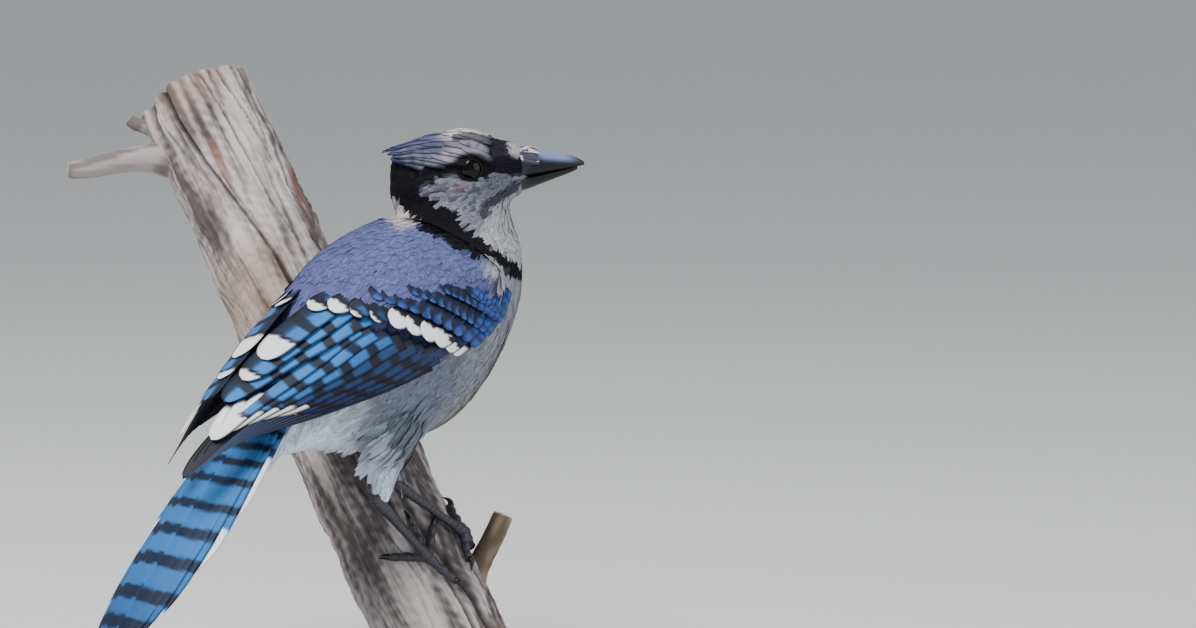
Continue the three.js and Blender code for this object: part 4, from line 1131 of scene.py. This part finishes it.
for side_name, sign in (("right", -1), ("left", 1)):
    centre = head_point(0.2, sign * 10.9, 0.2)
    eye = link_mesh("eye_ball_" + side_name, eye_material, *ball(centre, EYE_RADIUS, 0.8, HEAD_L))
    w, k = around(LID_RINGS), around(LID_SIDES)
    rim = head_point(0.2 + 4.0 * np.cos(w), np.full(LID_RINGS, sign * 12.9), 0.2 + 3.5 * np.sin(w))
    outwards = HEAD_F * np.cos(w)[:, None] + HEAD_U * np.sin(w)[:, None]
    ring = rim[:, None] + outwards[:, None] * (0.5 * np.cos(k))[None, :, None]
    ring = (ring + HEAD_L * (sign * 0.7 * np.sin(k))[None, :, None]).reshape(-1, 3)
    faces = grid_faces(LID_RINGS + 1, LID_SIDES) % len(ring)
    lid = link_mesh("lids_" + side_name, lid_material, ring, faces)
    for piece in (eye, lid):
        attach(piece, "root")
    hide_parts("eye_" + side_name)


# Legs and feet: dark scaly shanks, three toes forward and one back on each foot, with curved claws.
# The shank comes out of the thigh's feathers, and the toes lie on the branch and grip it.
leg_material = coloured("leg_skin", 0.42)
claw_material = material("claw_horn", "121215", 0.25)
# Toes of each foot: way up the branch, way round it, length. Then stops along toe, claw and shank,
# with heights over the branch and radii.
TOES = {
    "right": [(0.5, -0.85, 14), (1, 0, 16), (0.85, 0.5, 15), (-0.85, 0.5, 13)],
    "left": [(0.9, 0.3, 15), (0.4, 0.9, 17), (0, 0.95, 12), (-0.8, -0.1, 11)],
}
TOE_STOPS = [0, 0.16, 0.34, 0.5, 0.66, 0.82, 0.95, 1.02]
TOE_HEIGHTS = [4.0, 3.6, 2.4, 2.6, 2.0, 2.2, 1.8, 1.6]
TOE_RADII = [2.0, 1.9, 1.45, 1.75, 1.3, 1.55, 1.2, 0.9]
CLAW_STOPS = [0.88, 0.98, 1.07, 1.16, 1.25, 1.31, 1.35]
CLAW_HEIGHTS = [1.9, 2.7, 3.0, 2.8, 2.1, 1.4, 0.8]
CLAW_RADII = [0.8, 1.15, 1.0, 0.8, 0.5, 0.28, 0.06]
SHANK_STOPS = np.array([-0.12, 0, 0.08, 0.2, 0.5, 0.8, 0.95, 1.02])
SHANK_RADII = [2.0, 2.3, 2.3, 1.7, 1.45, 1.55, 2.1, 2.0]
GRIP_RADIUS = 23.5


def scaly(path, radii, pitch):
    """A tube with a low ridge at each pitch along it, like the scutes of a bird's leg."""
    step = np.concatenate([[0], np.linalg.norm(np.diff(path, axis=0), axis=1).cumsum()])
    fine = np.linspace(0, step[-1], max(int(step[-1] / 0.22), 8))
    p = np.stack([np.interp(fine, step, path[:, k]) for k in range(3)], axis=1)
    for _ in range(6):
        p[1:-1] = (p[:-2] + 2 * p[1:-1] + p[2:]) / 4
    saw = (fine / pitch) % 1
    verts, faces = tube(p, np.interp(fine, step, radii) * (1 + 0.07 * (0.5 - saw)))
    # Each scute is lighter at its raised edge and darkened with painted shade towards the crease before the
    # next.
    scute_shade = np.repeat(1.15 - 0.5 * saw, 20)
    return verts, faces, lin("34323c") * np.append(scute_shade, scute_shade[:2])[:, None]


def toe_point(foot, toe, share, h):
    """Point at a share of a toe's length from the foot, at a height over the branch."""
    along, across, length = toe
    far = length * np.array(share) / math.hypot(along, across)
    return branch_point(foot[0] + far * along, foot[1] + far * across / GRIP_RADIUS, np.array(h))


for side_name, leg in LEGS.items():
    heel = TORSO + np.array(leg["heel"], dtype=float)
    foot = branch_point(*leg["foot"], 4.0)
    parts = [scaly(heel + (foot - heel) * SHANK_STOPS[:, None], SHANK_RADII, 1.9)]
    claws = []
    for toe in TOES[side_name]:
        parts.append(scaly(toe_point(leg["foot"], toe, TOE_STOPS, TOE_HEIGHTS), TOE_RADII, 1.3))
        claws.append(tube(toe_point(leg["foot"], toe, CLAW_STOPS, CLAW_HEIGHTS), CLAW_RADII, 14))
    toes = link_mesh("leg_" + side_name, leg_material, *gather(parts))
    hooks = link_mesh("claws_" + side_name, claw_material, *gather(claws))
    for piece in (toes, hooks):
        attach(piece, "root")
    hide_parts("tarsus_" + side_name, "foot_" + side_name)
